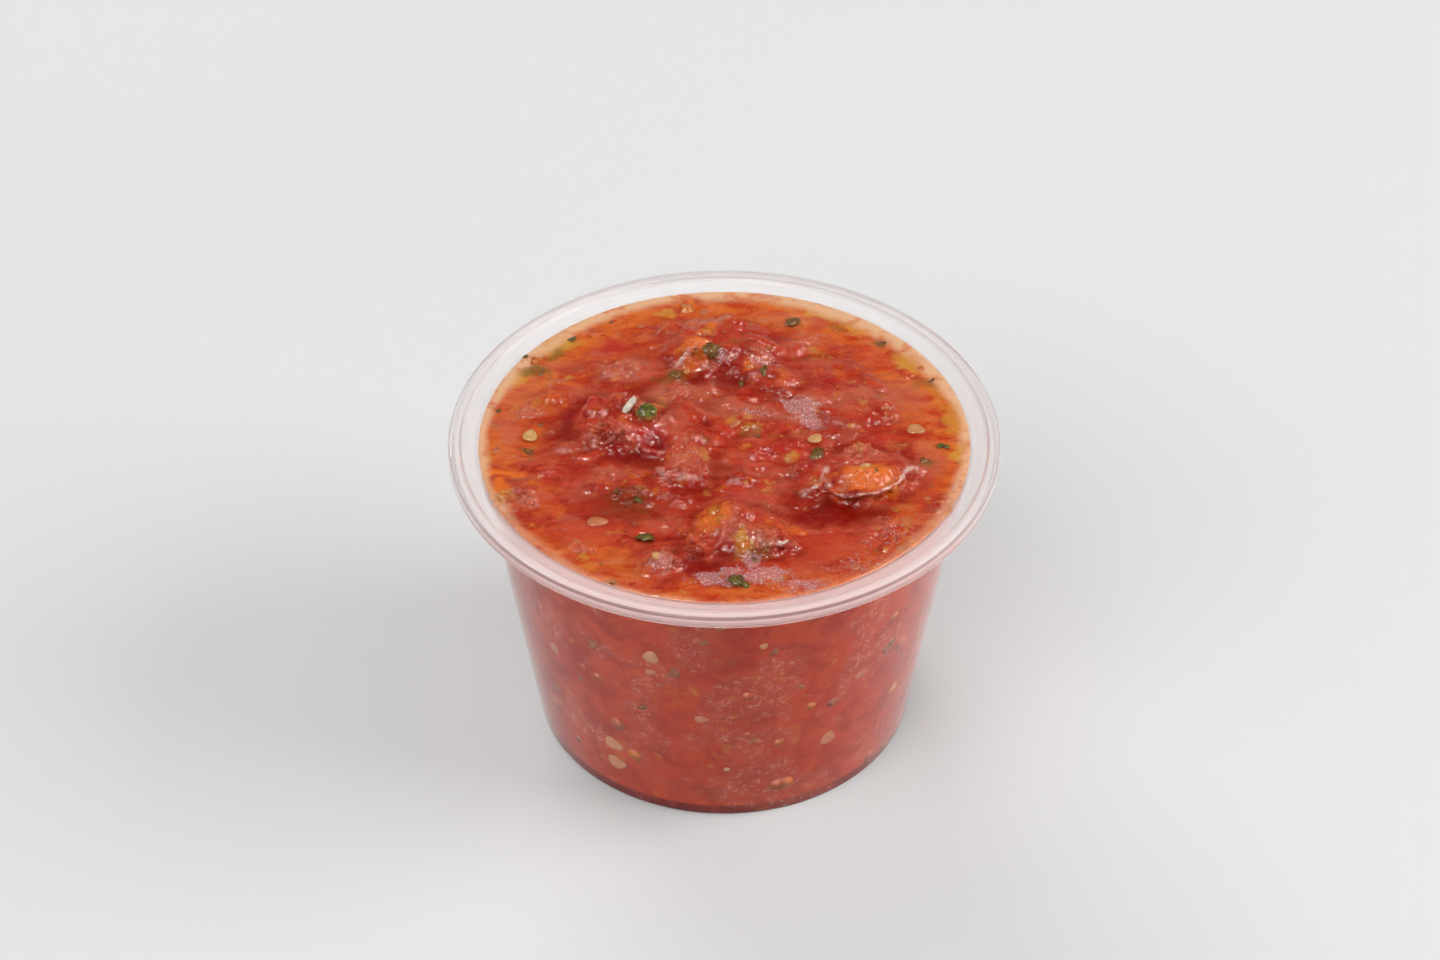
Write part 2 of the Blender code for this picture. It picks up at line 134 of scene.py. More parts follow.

# Tomato flakes. Points of the raised lip from left to right, the two ends of the root that it
# bends back to, the height of the lip, and how strong the painted highlight along the lip is
FLAKES = (
    (((13.4, -10.4), (14.1, -12.9), (16.6, -14.5), (19.7, -14.3), (21.7, -12.9), (23.4, -10.4),
      (25.3, -7.0)), ((14.8, -6.6), (24.0, -5.0)), 2.8, 1.0),
    (((10.2, -12.2), (11.4, -12.8), (12.6, -12.0), (13.2, -10.2), (13.4, -8.4)),
     ((9.6, -8.6), (11.8, -6.8)), 1.6, 0.7),
    (((-8.6, -7.4), (-8.2, -9.2), (-6.6, -9.9), (-4.8, -9.6), (-3.2, -9.4), (-2.4, -7.6)),
     ((-7.6, -3.0), (-3.0, -2.5)), 1.1, 0.5),
    (((-18.6, -1.2), (-17.4, -2.6), (-15.4, -2.9), (-13.4, -1.6), (-12.0, -1.0)),
     ((-18.0, 2.5), (-11.0, 3.0)), 1.6, 0.15),
    (((-11.6, -1.4), (-10.6, -3.6), (-9.0, -4.2), (-7.6, -3.0)), ((-11.0, 2.0), (-8.0, 2.0)), 1.3, 0.1),
    (((-4.6, -19.8), (-4.4, -23.0), (-2.6, -24.6), (-0.6, -23.0), (0.6, -19.8)),
     ((-3.6, -16.0), (1.0, -15.6)), 1.8, 0.1),
    (((4.4, -22.2), (5.8, -23.6), (7.4, -23.2), (9.0, -22.0)), ((4.8, -19.2), (8.4, -18.6)), 1.6, 1.0),
    (((-6.8, 15.4), (-5.8, 14.6), (-4.4, 15.4), (-3.4, 17.4)), ((-5.8, 18.4), (-3.0, 19.4)), 1.7, 1.0),
    (((1.0, 13.2), (3.4, 12.4), (5.6, 12.8), (7.4, 14.2)), ((1.6, 16.0), (7.0, 16.6)), 0.5, 0.1),
)
FLAKE_THICKNESS = 0.55
FLAKE_ROOT = 3.0
FLAKE_FOLDS = 13
FLAKE_STEPS = 44
LIP_STEPS = 60

# How far from a lip its painted highlight is full, and where it ends
LIP_WIDTHS = (0.15, 0.8)

# Lumps of pulp: x, y, radius
LUMPS = (
    (-17.2, 3.8, 2.0), (-13.6, 4.6, 2.2), (-9.4, 4.6, 1.9), (-12.6, 0.2, 1.7), (-8.4, 0.6, 1.6),
    (-4.4, 18.8, 1.5), (-1.0, 16.4, 1.4), (4.0, 17.4, 1.1), (-6.8, 22.4, 2.0), (0.8, 23.6, 2.2),
    (1.4, -17.6, 2.1), (-2.0, -20.8, 1.7), (6.4, -20.2, 1.6), (2.6, -22.8, 1.3), (-3.4, -23.4, 1.2),
    (-8.4, -26.2, 1.6), (-6.4, -25.6, 1.2), (-9.8, -26.8, 1.0),
    (-28.4, -12.6, 1.4), (-25.8, -13.6, 1.2), (-26.4, 5.4, 1.2),
    (18.0, -4.8, 1.5), (16.2, -9.6, 1.5), (20.6, -9.4, 1.6), (8.6, -6.8, 1.2),
    (-12.6, -12.0, 1.3), (-15.2, -8.0, 1.0), (3.4, 2.2, 1.2), (-6.6, 12.4, 1.4),
)
LUMP_FLATNESS = 0.72
LUMP_SINK = 0.35
LUMP_ROUGHNESS = 0.34
SMALL_LUMP_DENSITY = 1.2
SMALLEST_LUMP = 0.35
SMALL_LUMP_RANGE = 0.75

# How far apart the noise of two lumps lies, and where that of the small lumps starts
LUMP_SHIFT = 7.0
SMALL_LUMP_SHIFT = 300.0

# Places where the pulp is ruffled: centre x, centre y, half length, half width, turn, strength
RUFFLES = (
    (-15.5, -1.0, 3.6, 1.8, 0, 1.0), (-12.2, 3.6, 2.6, 3.8, 0, 1.0), (-8.8, 1.4, 2.6, 1.6, 0, 1.0),
    (-7.0, -8.8, 2.8, 2.0, 0, 1.0), (-3.4, -7.4, 1.6, 2.4, 0, 0.9), (-5.6, -5.0, 2.8, 3.8, 0, 0.5),
    (-12.6, -11.8, 3.4, 1.6, 0, 0.8), (-15.2, -8.0, 1.6, 1.2, 0, 0.8), (-26.4, 5.2, 3.0, 1.6, 10, 0.7),
    (-27.6, -13.2, 3.6, 2.2, -15, 1.0), (-18.4, -22.6, 2.4, 1.5, 0, 0.8),
    (-12.8, -22.0, 1.4, 1.2, 0, 0.6), (-8.0, -26.4, 2.8, 1.8, 0, 1.0),
    (-3.4, -22.2, 1.8, 4.0, -20, 1.0), (1.4, -20.0, 2.6, 3.0, 0, 0.8), (6.2, -22.4, 3.4, 2.2, 15, 1.0),
    (-4.8, 16.6, 1.8, 2.6, 0, 1.0), (-1.0, 15.4, 1.8, 1.8, 0, 1.0), (-2.2, 20.4, 1.4, 2.0, 0, 0.8),
    (-5.6, 8.0, 2.4, 3.0, 0, 0.5), (13.4, -3.0, 2.0, 1.8, 0, 0.5), (18.0, -5.0, 3.4, 2.2, 10, 0.8),
    (18.2, -11.4, 4.6, 3.0, 10, 0.45), (24.6, -8.6, 1.6, 3.2, -25, 0.8), (9.8, -7.4, 1.6, 1.3, 0, 0.8),
    (11.4, -11.4, 1.8, 1.6, 0, 0.8), (1.8, -9.2, 1.8, 1.2, 0, 0.6), (5.6, -3.6, 2.6, 1.6, 0, 0.6),
    (11.4, 21.0, 3.8, 2.4, 0, 0.5), (24.4, 13.6, 3.2, 2.2, -30, 0.5), (22.6, 4.6, 3.6, 2.0, 0, 0.4),
    (21.4, -19.8, 5.0, 3.6, 35, 0.5), (15.0, -25.6, 4.6, 1.8, 15, 0.5),
    (28.6, -13.6, 2.2, 3.4, -20, 0.5), (-26.6, 15.4, 2.2, 2.6, 0, 0.5),
    (-14.6, 14.2, 3.4, 2.0, 0, 0.5), (3.6, 4.4, 3.6, 1.6, 0, 0.5), (-20.6, -17.4, 3.6, 2.0, 0, 0.35),
    (-6.6, -17.8, 3.4, 2.0, 0, 0.4), (5.0, 22.6, 3.0, 1.6, 0, 0.3), (-3.0, 25.0, 4.4, 1.8, 0, 0.4),
    (-23.8, -7.6, 1.6, 1.2, 0, 0.5), (15.6, 9.8, 4.0, 2.4, 0, 0.25),
)

# The size and reach of the noise that warps these places, and the strength from which the
# mesh in them is finer
RUFFLE_WARP = (1.5, 0.5)
FINE_FROM = 0.42

# Tints of the pulp and juice by kind: centre x, centre y, half length, half width, turn, strength
TINTS = {
    "flesh": (
        (19.2, -10.6, 5.2, 3.2, 10, 1.0), (-1.0, -18.2, 3.1, 3.9, 0, 1.0),
        (5.6, -20.6, 3.4, 1.8, 10, 0.25), (-29.4, -10.8, 2.2, 2.0, 0, 1.0),
        (-3.2, -21.4, 1.6, 3.0, -20, 0.25), (9.6, -19.4, 2.0, 1.2, 0, 0.5),
        (-4.4, 17.0, 2.6, 3.2, 20, 1.0), (-2.4, 21.4, 1.4, 1.8, 0, 1.0), (3.6, 15.2, 1.4, 1.2, 0, 1.0),
        (-5.0, 29.2, 1.4, 2.0, 0, 1.0), (-29.4, -7.2, 4.4, 1.1, -6, 1.0),
    ),
    "red": (
        (15.0, -22.8, 7.5, 3.2, 20, 0.8), (-18.4, -19.4, 5.4, 2.6, -25, 0.8),
        (-24.4, -14.0, 2.4, 3.4, 30, 0.6), (-15.4, 19.0, 5.0, 2.4, 15, 0.6),
        (21.0, 17.6, 4.4, 2.6, -40, 0.6), (26.4, -9.6, 2.4, 5.0, -10, 0.6),
        (-6.4, -27.4, 5.0, 1.8, -10, 0.6), (-28.0, 1.0, 2.4, 4.4, 0, 0.5),
    ),
    "pale": (
        # The second patch on this line, across the wet middle, is a painted sheen
        (-9.8, 8.2, 2.8, 2.2, 20, 1.0), (9.6, 7.4, 5.0, 2.0, -35, 0.7), (1.6, 5.4, 8.0, 2.6, -12, 0.7),
        (-4.4, 9.4, 4.6, 2.6, 10, 0.6), (-10.2, 6.4, 2.6, 2.4, 0, 1.0),
        (-27.4, 10.4, 3.4, 5.0, -35, 0.5), (-29.6, 2.4, 2.4, 4.6, 5, 0.6),
        (9.0, 26.4, 7.0, 2.2, -8, 0.5), (24.6, 9.4, 3.4, 5.6, 25, 0.5), (27.4, -4.4, 2.6, 4.4, 0, 0.5),
        (-12.6, -2.2, 3.0, 1.0, -10, 0.4), (-2.6, 24.6, 5.2, 2.2, -4, 0.7),
        (-13.0, 14.6, 6.0, 3.0, 5, 0.5), (-8.6, 8.4, 3.4, 3.4, 0, 0.6),
        (-5.4, -5.0, 2.4, 4.4, 12, 0.45), (-6.4, 1.6, 2.2, 4.0, 0, 0.5),
        (5.6, 16.0, 3.6, 1.6, -20, 0.6), (17.8, -5.2, 3.6, 2.0, 10, 0.5),
        (11.4, 20.6, 3.4, 1.8, 0, 0.5), (-25.4, -13.6, 2.0, 1.4, 0, 0.6),
        (-8.0, -25.8, 3.0, 2.0, 0, 0.7), (-26.2, 5.2, 2.8, 1.4, 10, 0.5),
        (24.0, 11.4, 3.2, 1.8, -30, 0.5), (6.6, 4.6, 6.0, 2.2, -10, 0.5),
        (5.0, -14.4, 4.4, 2.0, -10, 0.4), (-7.6, -17.8, 3.4, 2.4, 0, 0.35),
        (16.6, 7.4, 6.0, 3.0, 0, 0.3), (-19.4, 9.6, 4.0, 2.0, 30, 0.3),
        (-15.8, -7.6, 3.0, 1.6, 0, 0.3),
    ),
    "yellow": (
        (-9.2, 6.2, 1.8, 1.8, 0, 0.5), (31.0, 4.6, 1.6, 4.4, 8, 0.7), (2.6, -22.8, 1.4, 1.8, 0, 0.9),
        (18.6, -8.6, 1.0, 0.8, 0, 0.8), (-28.8, -12.4, 2.0, 1.8, 0, 0.7),
        (-31.0, -3.6, 1.0, 1.6, 0, 0.7), (-22.8, 20.2, 4.2, 2.0, 30, 1.0),
        (-28.0, 13.6, 2.0, 3.2, -30, 0.9), (-8.2, 27.6, 1.6, 1.4, 0, 0.8),
        (14.0, 27.8, 3.2, 1.6, -15, 0.8), (18.4, 24.8, 3.0, 1.4, -30, 0.6),
        (31.4, -3.4, 1.2, 2.0, 0, 0.9), (25.4, 16.0, 3.0, 1.6, -50, 0.9), (0.4, 3.2, 1.6, 1.2, 0, 0.6),
        (4.0, 1.6, 1.6, 1.0, 0, 0.6), (28.6, 10.0, 1.2, 2.4, 20, 0.5),
    ),
    # The dark kind is painted shade, under the lips of flakes and lumps and in hollows
    "dark": (
        (-0.4, 15.2, 2.4, 1.6, 0, 0.8), (13.8, -15.6, 8.0, 2.8, 8, 1.0),
        (9.8, -13.4, 2.6, 2.6, 0, 0.7), (-13.6, -3.6, 3.2, 1.4, -8, 0.9),
        (-22.6, 0.4, 3.2, 2.6, 0, 0.5), (-14.0, -14.4, 7.5, 5.0, 0, 0.6),
        (-3.6, 12.0, 2.4, 1.6, 0, 0.9), (-5.2, -13.0, 3.6, 2.0, 0, 0.5),
        (-2.6, -26.6, 4.8, 1.5, -6, 0.9), (6.0, 9.4, 4.4, 2.2, -25, 0.6),
        (-12.4, 9.6, 2.6, 1.4, 0, 0.4), (24.0, -2.6, 2.4, 1.4, 0, 0.4),
        (6.8, -24.4, 3.4, 1.0, 20, 0.6),
    ),
    "orange": (
        (-5.4, 14.0, 1.2, 1.0, 0, 0.9), (-14.6, 24.4, 5.0, 2.2, 12, 0.9),
        (-26.0, 17.2, 2.2, 1.4, 20, 1.0), (-27.4, 8.6, 3.8, 3.0, 50, 0.9),
        (-22.4, -14.4, 3.0, 1.8, 0, 0.8), (-24.8, -10.8, 2.4, 1.4, 0, 0.8),
        (-16.4, -22.6, 6.0, 2.2, -18, 0.8), (-14.6, -26.0, 7.0, 2.4, -14, 0.9),
        (0.0, -31.0, 12.0, 1.6, 0, 0.9), (16.8, 14.4, 2.6, 2.6, 0, 0.7),
        (22.4, 15.2, 3.4, 2.4, -40, 0.9), (27.4, 4.4, 2.6, 4.6, 0, 0.9), (4.4, 26.0, 4.6, 1.8, 0, 0.8),
        (12.6, 21.4, 3.4, 2.0, 0, 0.6), (24.0, -15.0, 5.0, 2.2, 50, 0.8),
        (20.8, -22.8, 1.4, 1.0, 0, 1.0), (29.0, -8.8, 1.8, 4.0, 0, 0.8),
    ),
    "olive": (
        (-12.6, -13.8, 4.6, 3.6, -10, 0.5), (-26.0, 14.6, 2.8, 1.6, 20, 0.9),
        (-23.0, 18.6, 2.6, 1.2, 30, 0.8), (-6.8, 12.6, 2.0, 1.4, 0, 0.7),
        (-0.8, 15.8, 2.2, 1.6, 0, 1.0), (3.8, 1.4, 2.2, 1.2, -10, 0.5), (21.8, 21.0, 1.6, 1.2, 0, 0.7),
        (27.4, 12.0, 1.6, 1.4, 0, 0.5), (26.8, -5.2, 2.2, 0.9, 0, 0.6),
        (-26.4, -2.2, 1.6, 1.0, 0, 0.6), (4.0, -24.8, 1.6, 1.2, 0, 0.6),
        (-10.6, 5.4, 2.0, 1.4, 0, 0.5), (-15.6, -29.4, 2.4, 1.0, -20, 0.6),
        (13.0, 17.6, 1.4, 1.2, 0, 0.3),
    ),
    "crimson": (
        (-19.2, 4.4, 3.4, 2.0, 10, 0.9), (6.0, -3.2, 2.4, 1.4, 0, 0.8),
        (-14.4, 20.4, 3.4, 1.8, 0, 0.7), (5.4, 22.0, 4.4, 1.8, 0, 0.5), (-9.6, -2.6, 2.2, 2.4, 0, 0.8),
        (20.4, -0.6, 3.0, 1.8, 0, 0.4), (-24.8, -10.6, 1.8, 1.2, 0, 0.6),
        (13.6, 11.4, 3.4, 2.0, 0, 0.4), (0.4, -12.6, 5.0, 2.2, 0, 0.4), (12.0, -6.4, 3.0, 2.4, 0, 0.5),
    ),
}

# The size and reach of the noise that warps the tints, and how far apart it lies for two kinds
TINT_WARP = (2.4, 1.3)
TINT_SHIFT = 9.0

# Fine foam: centre x, centre y, half length, half width, turn, number of bubbles, strength
FOAM = (
    (10.2, 6.2, 4.6, 1.7, -48, 200, 1.0), (11.6, 3.2, 3.2, 1.2, -8, 90, 1.0),
    (4.4, 5.0, 3.8, 1.0, -12, 60, 0.6), (-1.6, -28.6, 3.8, 1.3, -4, 120, 1.0),
    (4.6, -27.8, 4.8, 1.8, 6, 200, 1.0), (3.6, -25.2, 1.8, 1.6, 0, 60, 0.9),
    (-1.0, 15.4, 1.7, 1.3, 0, 50, 0.8), (10.0, -29.4, 4.6, 1.4, 10, 130, 0.6),
    (20.4, -22.6, 6.4, 2.2, 42, 110, 0.12), (27.6, -15.6, 1.8, 4.8, -30, 60, 0.12),
    (22.0, -18.4, 4.6, 3.4, 30, 60, 0.10), (-8.2, -26.8, 2.0, 1.2, 0, 40, 0.6),
    (-25.6, -13.8, 1.6, 1.0, 0, 24, 0.4), (31.0, -10.6, 1.0, 3.8, -12, 60, 0.4),
    (15.6, -27.0, 4.4, 1.8, 22, 80, 0.35), (5.8, 15.4, 2.4, 1.4, -20, 40, 0.6),
    (-7.8, -12.4, 2.0, 1.0, 0, 20, 0.4), (0.6, -27.0, 2.2, 1.0, 0, 50, 0.7),
    (-6.0, 10.4, 3.4, 2.2, 0, 30, 0.3), (-26.6, 5.2, 2.2, 1.2, 0, 24, 0.4),
)

# How far the bubbles keep from the wall, and the radius of the smallest and the range of radii
FOAM_MARGIN = 0.9
SMALLEST_BUBBLE = 0.05
BUBBLE_RANGE = 0.15

# Cream and yellowish seeds on top: x, y, length, turn in degrees, depth under the juice
SEEDS = (
    (-26.0, 0.4, 2.5, 80, 0.0), (12.2, -0.5, 2.3, 60, 0.1), (25.8, 1.8, 2.5, -20, 0.3),
    (-16.6, -17.0, 3.2, -6, 0.5), (18.6, -8.5, 1.6, 50, 0.1), (1.4, 2.4, 2.0, 20, 0.6),
    (-8.6, -26.2, 1.5, 35, 0.1), (21.6, 5.4, 1.6, -10, 0.6), (-30.4, -2.0, 1.8, 80, 0.6),
    (17.0, -26.0, 1.6, 15, 0.6), (-11.4, 24.6, 1.7, 10, 0.6), (26.8, -12.6, 1.6, 130, 0.6),
    (-2.8, 28.4, 1.9, 70, 0.6), (-19.0, -21.0, 1.8, 150, 0.6),
)
SEED_WIDTH = 0.80
SEED_THICKNESS = 0.36
SEED_TILT = 14

# Green bits on top: x, y, size, turn in degrees, depth under the juice
GREENS = (
    (9.0, 25.6, 3.8, 5, 0.3), (12.3, -4.0, 2.6, -25, 0.2),
    (-9.9, -20.2, 2.4, 15, 0.1), (1.9, -29.0, 3.2, -10, 0.1), (-1.6, 15.8, 2.4, 40, 0.25),
    (-26.3, -2.6, 1.7, 10, 0.4), (-11.2, -13.8, 1.6, -15, 0.1), (-21.2, 21.6, 1.4, 0, 0.0),
    (29.4, -1.6, 1.5, -40, 0.0), (-25.4, 14.2, 2.0, 25, 0.5), (4.4, 0.6, 1.5, 60, 0.4),
    (-14.0, -11.4, 1.8, -20, 0.4), (5.4, 12.8, 1.5, 75, 0.2), (-6.6, 12.4, 1.8, 95, 0.3),
    (-30.6, 6.0, 1.4, 80, 0.1), (4.0, -24.6, 1.3, 30, 0.3), (21.8, 21.2, 1.5, -45, 0.4),
    (-14.4, -29.0, 1.5, -20, 0.4), (26.8, -5.2, 1.7, 15, 0.4), (-24.6, 2.6, 1.6, 50, 0.5),
    (20.0, -9.6, 0.8, 20, 0.0), (-27.4, 17.4, 0.9, 20, 0.2), (28.4, 12.4, 1.2, 20, 0.4),
    (2.2, 11.8, 1.1, 20, 0.2), (-15.6, 25.6, 0.9, 20, 0.3),
)
GREEN_TILT = 25

# Orange and yellow bits on top: x, y, size
DICE = (
    (-1.2, -16.6, 2.4), (2.6, -22.6, 2.0), (-2.4, 20.8, 1.6), (3.6, 15.0, 1.3), (-29.2, -12.4, 1.6),
    (-26.0, 17.0, 1.5), (-5.0, 29.0, 2.2), (20.8, -22.8, 1.1), (-5.2, 14.0, 1.2), (22.0, -11.4, 1.5),
    (27.0, 15.4, 1.2), (-0.2, -19.4, 1.8),
)
DICE_TILT = 15
DICE_SINK = 0.26

# The largest green bit, a rounded piece of pepper, and the white sliver beside it
CHUNK_PLACE = (-10.4, 1.3)
CHUNK_RADII = (1.42, 1.36, 1.30)
CHUNK_LIFT = 0.45
SLIVER_PLACE = (-12.7, 2.2)
SLIVER_SIZE = (0.9, 2.9, 1.0)
SLIVER_TURNS = (-24, 12, 25)
SLIVER_LIFT = 0.1

# What shows through the side of the cup: azimuth in degrees, height, length, turn in degrees,
# and for the seeds how much juice veils them
SIDE_SEEDS = (
    (-108.2, 32.6, 2.4, 80, 0.55), (-123.0, 10.9, 2.9, -20, 0.55), (-122.8, 7.1, 3.0, 10, 0.55),
    (-59.9, 13.2, 2.6, 85, 0.75), (-80.5, 36.0, 1.2, 40, 0.5), (-89.2, 10.4, 0.9, 0, 0.3),
    (-96.0, 21.0, 1.9, 10, 0.8), (-52.0, 24.0, 1.8, 30, 0.8), (-140.0, 25.0, 2.0, 60, 0.7),
    (-108.6, 29.4, 1.6, 20, 0.8), (30.0, 28.0, 2.4, 40, 0.6), (75.0, 15.0, 2.6, 10, 0.5),
    (110.0, 33.0, 2.2, 70, 0.6), (160.0, 20.0, 2.4, 120, 0.5), (10.0, 12.0, 2.2, 20, 0.6),
)
SIDE_GREENS = (
    (-123.8, 31.1, 2.0, 20), (-102.6, 29.9, 1.9, 60), (-143.8, 15.4, 2.2, 40), (-42.6, 26.4, 2.8, 10),
    (-77.8, 34.7, 1.7, 80), (-59.6, 20.7, 2.0, 20), (-112.0, 21.5, 1.3, 20), (-70.0, 26.0, 1.2, 50),
    (-131.0, 22.0, 1.3, 70), (-95.0, 37.0, 1.2, 0),
)
SIDE_PATCHES = 46
SMALLEST_PATCH = 0.8
LARGEST_PATCH = 2.4
SIDE_FLATNESS = 0.3
SIDE_STAND_OUT = 0.02
SIDE_DEPTH = 0.3

# How high over the foot the search for the finished surface starts
DROP_HEIGHT = 100.0

# What the seeded noise and the random draws start from
NOISE_SEED = 5
SEEDS_DRAW = 21
GREENS_DRAW = 22
DICE_DRAW = 23
SLIVER_DRAW = 24
FOAM_DRAW = 25

# The noise: its gain to about -1 to 1, and how far its octaves lie apart
NOISE_GAIN = 1.6
OCTAVE_SHIFT = 17.3

# The grid on which hollows are found: its cells, its reach to each side, and how many cells its
# heights are blurred over for the surface near a point and for the wider one round it
GRID_CELL = 0.5
GRID_REACH = 36
NEAR_BLUR = 1.2
WIDE_BLUR = 5.0


class GradientNoise:
    """Smooth noise of about -1 to 1 in three dimensions, from a seeded table of gradients."""

    def __init__(self, seed):
        draw = np.random.RandomState(seed)
        self.order = draw.permutation(256)
        gradients = draw.normal(size=(256, 3))
        self.gradients = gradients / np.linalg.norm(gradients, axis=1)[:, None]

    def __call__(self, points):
        cell = np.floor(points).astype(int)
        local = points - cell
        ease = local ** 3 * (local * (local * 6 - 15) + 10)
        total = np.zeros(len(points))
        for corner in np.ndindex(2, 2, 2):
            x, y, z = (cell + corner).T & 255
            picked = self.order[(self.order[(self.order[x] + y) & 255] + z) & 255]
            weight = np.prod(np.where(corner, ease, 1 - ease), axis=1)
            total += weight * np.einsum("ij,ij->i", self.gradients[picked], local - corner)
        return NOISE_GAIN * total

    def layers(self, points, size, octaves):
        """Sum octaves of the noise. The first has the given size, and each next one half of it."""
        total = np.zeros(len(points))
        strength = 1.0
        for octave in range(octaves):
            total += strength * self(points / size * 2 ** octave + OCTAVE_SHIFT * octave)
            strength *= 0.5
        return total


NOISE = GradientNoise(NOISE_SEED)


def flat_points(x, y, z=0.0):
    """Stack coordinates as an array of points."""
    return np.stack([x, y, np.zeros_like(x) + z], axis=1)


def smooth_step(low, high, value):
    """Return 0 below low and 1 above high, with an easy change between them."""
    share = np.clip((value - low) / (high - low), 0.0, 1.0)
    return share * share * (3.0 - 2.0 * share)


def arc(centre, radius, start, end, steps):
    """Return points of an arc in the (radius, height) plane, its angles in degrees."""
    angles = np.radians(np.linspace(start, end, steps + 1))
    return [(centre[0] + radius * math.cos(a), centre[1] + radius * math.sin(a)) for a in angles]


def offset_inward(points, distance):
    """Shift an outline, which runs from the axis out and up, towards the inside of the cup."""
    normals = []
    for (r0, z0), (r1, z1) in zip(points, points[1:]):
        length = math.hypot(r1 - r0, z1 - z0)
        normals.append((-(z1 - z0) / length, (r1 - r0) / length))
    shifted = []
    for index, (r, z) in enumerate(points):
        before = normals[max(index - 1, 0)]
        after = normals[min(index, len(normals) - 1)]
        share = 1.0 + before[0] * after[0] + before[1] * after[1]
        shifted.append((r + distance * (before[0] + after[0]) / share,
                        z + distance * (before[1] + after[1]) / share))
    return shifted


WALL_LEAN = math.degrees(math.atan(TAPER))


def bend_centre():
    """Return the centre of the bend that turns the wall out into the shelf."""
    height = SHELF_TOP - WALL - BEND_RADIUS
    start_height = height + BEND_RADIUS * math.sin(math.radians(WALL_LEAN))
    start_radius = BASE_RADIUS + TAPER * start_height
    return start_radius + BEND_RADIUS * math.cos(math.radians(WALL_LEAN)), height


def outside_outline(steps):
    """Return the outside of foot, wall and bend, from the axis to the start of the shelf."""
    lean = math.radians(WALL_LEAN)
    foot_outer = BASE_RADIUS - CORNER_RADIUS * (1.0 / math.cos(lean) - math.tan(lean))
    foot_inner = foot_outer - FOOT_WIDTH
    outline = [(0.0, FOOT_RISE), (foot_inner - FOOT_SLOPE, FOOT_RISE), (foot_inner, 0.0)]
    outline += arc((foot_outer, CORNER_RADIUS), CORNER_RADIUS, -90, -WALL_LEAN, steps)
    outline += arc(bend_centre(), BEND_RADIUS, 180 - WALL_LEAN, 90, steps)
    return outline


def rim_outline(shelf_under, shelf_over, steps):
    """Return the shelf, bead and skirt, from the underside of the shelf round to its top."""
    inner_skirt = RIM_RADIUS - WALL
    return [
        (MOUTH_RADIUS + BEAD_STEP, shelf_under),
        (MOUTH_RADIUS + 2 * BEAD_STEP, HEIGHT - WALL),
        (inner_skirt - BEAD_CORNER, HEIGHT - WALL),
        (inner_skirt, HEIGHT - WALL - BEAD_CORNER),
        (inner_skirt, SKIRT_LOW),
        (RIM_RADIUS, SKIRT_LOW),
        *arc((RIM_RADIUS - BEAD_CORNER, HEIGHT - BEAD_CORNER), BEAD_CORNER, 0, 90, steps),
        (MOUTH_RADIUS + BEAD_STEP, HEIGHT),
        (MOUTH_RADIUS, shelf_over),
    ]


def salad_outline():
    """Return the outline of the salad's side, a little way into the wall, from the axis up."""
    return offset_inward(outside_outline(CUP_ARC_STEPS), WALL - BITE)


def wall_radius(height):
    """Return the radius of the salad's side at a height or heights."""
    radii, heights = zip(*salad_outline()[3:])
    return np.interp(height, heights, radii)


EDGE_RADIUS = float(wall_radius(LEVEL))


def patch(x, y, place):
    """Return how far inside an oval patch points are: 1 on its flat top, 0 outside it."""
    centre_x, centre_y, half_length, half_width, turn = place
    angle = math.radians(turn)
    along = (x - centre_x) * math.cos(angle) + (y - centre_y) * math.sin(angle)
    across = (y - centre_y) * math.cos(angle) - (x - centre_x) * math.sin(angle)
    return 1.0 - smooth_step(*PATCH_SHARES, np.hypot(along / half_length, across / half_width))


def coverage(x, y, places):
    """Return the strongest of several patches at each point. Their last value is a strength."""
    return np.max([patch(x, y, place[:5]) * place[5] for place in places], axis=0)


def warped(x, y, size, reach):
    """Return x and y shifted by smooth noise, which gives patches uneven outlines."""
    points = flat_points(x, y, 80.0)
    return (x + reach * NOISE.layers(points, size, 2),
            y + reach * NOISE.layers(points + 31.0, size, 2))


def ruffling(x, y):
    """Return how strongly the pulp is ruffled at each point."""
    return coverage(*warped(x, y, *RUFFLE_WARP), RUFFLES)


def off_wall(x, y):
    """Return 1 away from the wall, and less in the narrow ring where the juice meets it."""
    return smooth_step(EDGE_RADIUS, EDGE_RADIUS - MENISCUS_WIDTH, np.hypot(x, y))


def pulp_height(x, y):
    """Return the height of the pulp over the juice's level, before the juice covers it."""
    radius = np.hypot(x, y)
    rough = smooth_step(31.0, 20.0, radius)
    height = CORE_DOME * (1.0 - (radius / EDGE_RADIUS) ** 2) - 0.3 * (1 - rough)
    height += coverage(x, y, MOUNDS) - coverage(x, y, HOLLOWS)
    height += 0.6 * ruffling(x, y)
    points = flat_points(x, y)
    height += (0.25 + 0.50 * rough) * NOISE.layers(points, 4.2, 2)
    return height + 0.40 * rough * NOISE.layers(points * (0.6, 1.4, 1.0), 2.0, 2)


def juice_height(x, y):
    """Return the height of the juice's surface over its level: still, with a slight meniscus."""
    still = 0.07 * NOISE.layers(flat_points(x, y, 9.0), 3.6, 3) * off_wall(x, y)
    return still + 0.10 * np.exp((np.hypot(x, y) - EDGE_RADIUS) / 0.7)


def surface_height(x, y):
    """Return the height of the salad's surface in the frame: pulp, or juice where it is higher."""
    x = np.atleast_1d(np.asarray(x, float))
    y = np.atleast_1d(np.asarray(y, float))
    pulp = pulp_height(x, y)
    juice = juice_height(x, y)
    soft = 0.12
    merged = 0.5 * (pulp + juice + np.sqrt((pulp - juice) ** 2 + soft ** 2))
    fade = off_wall(x, y)
    return LEVEL + juice * (1 - fade) + merged * fade


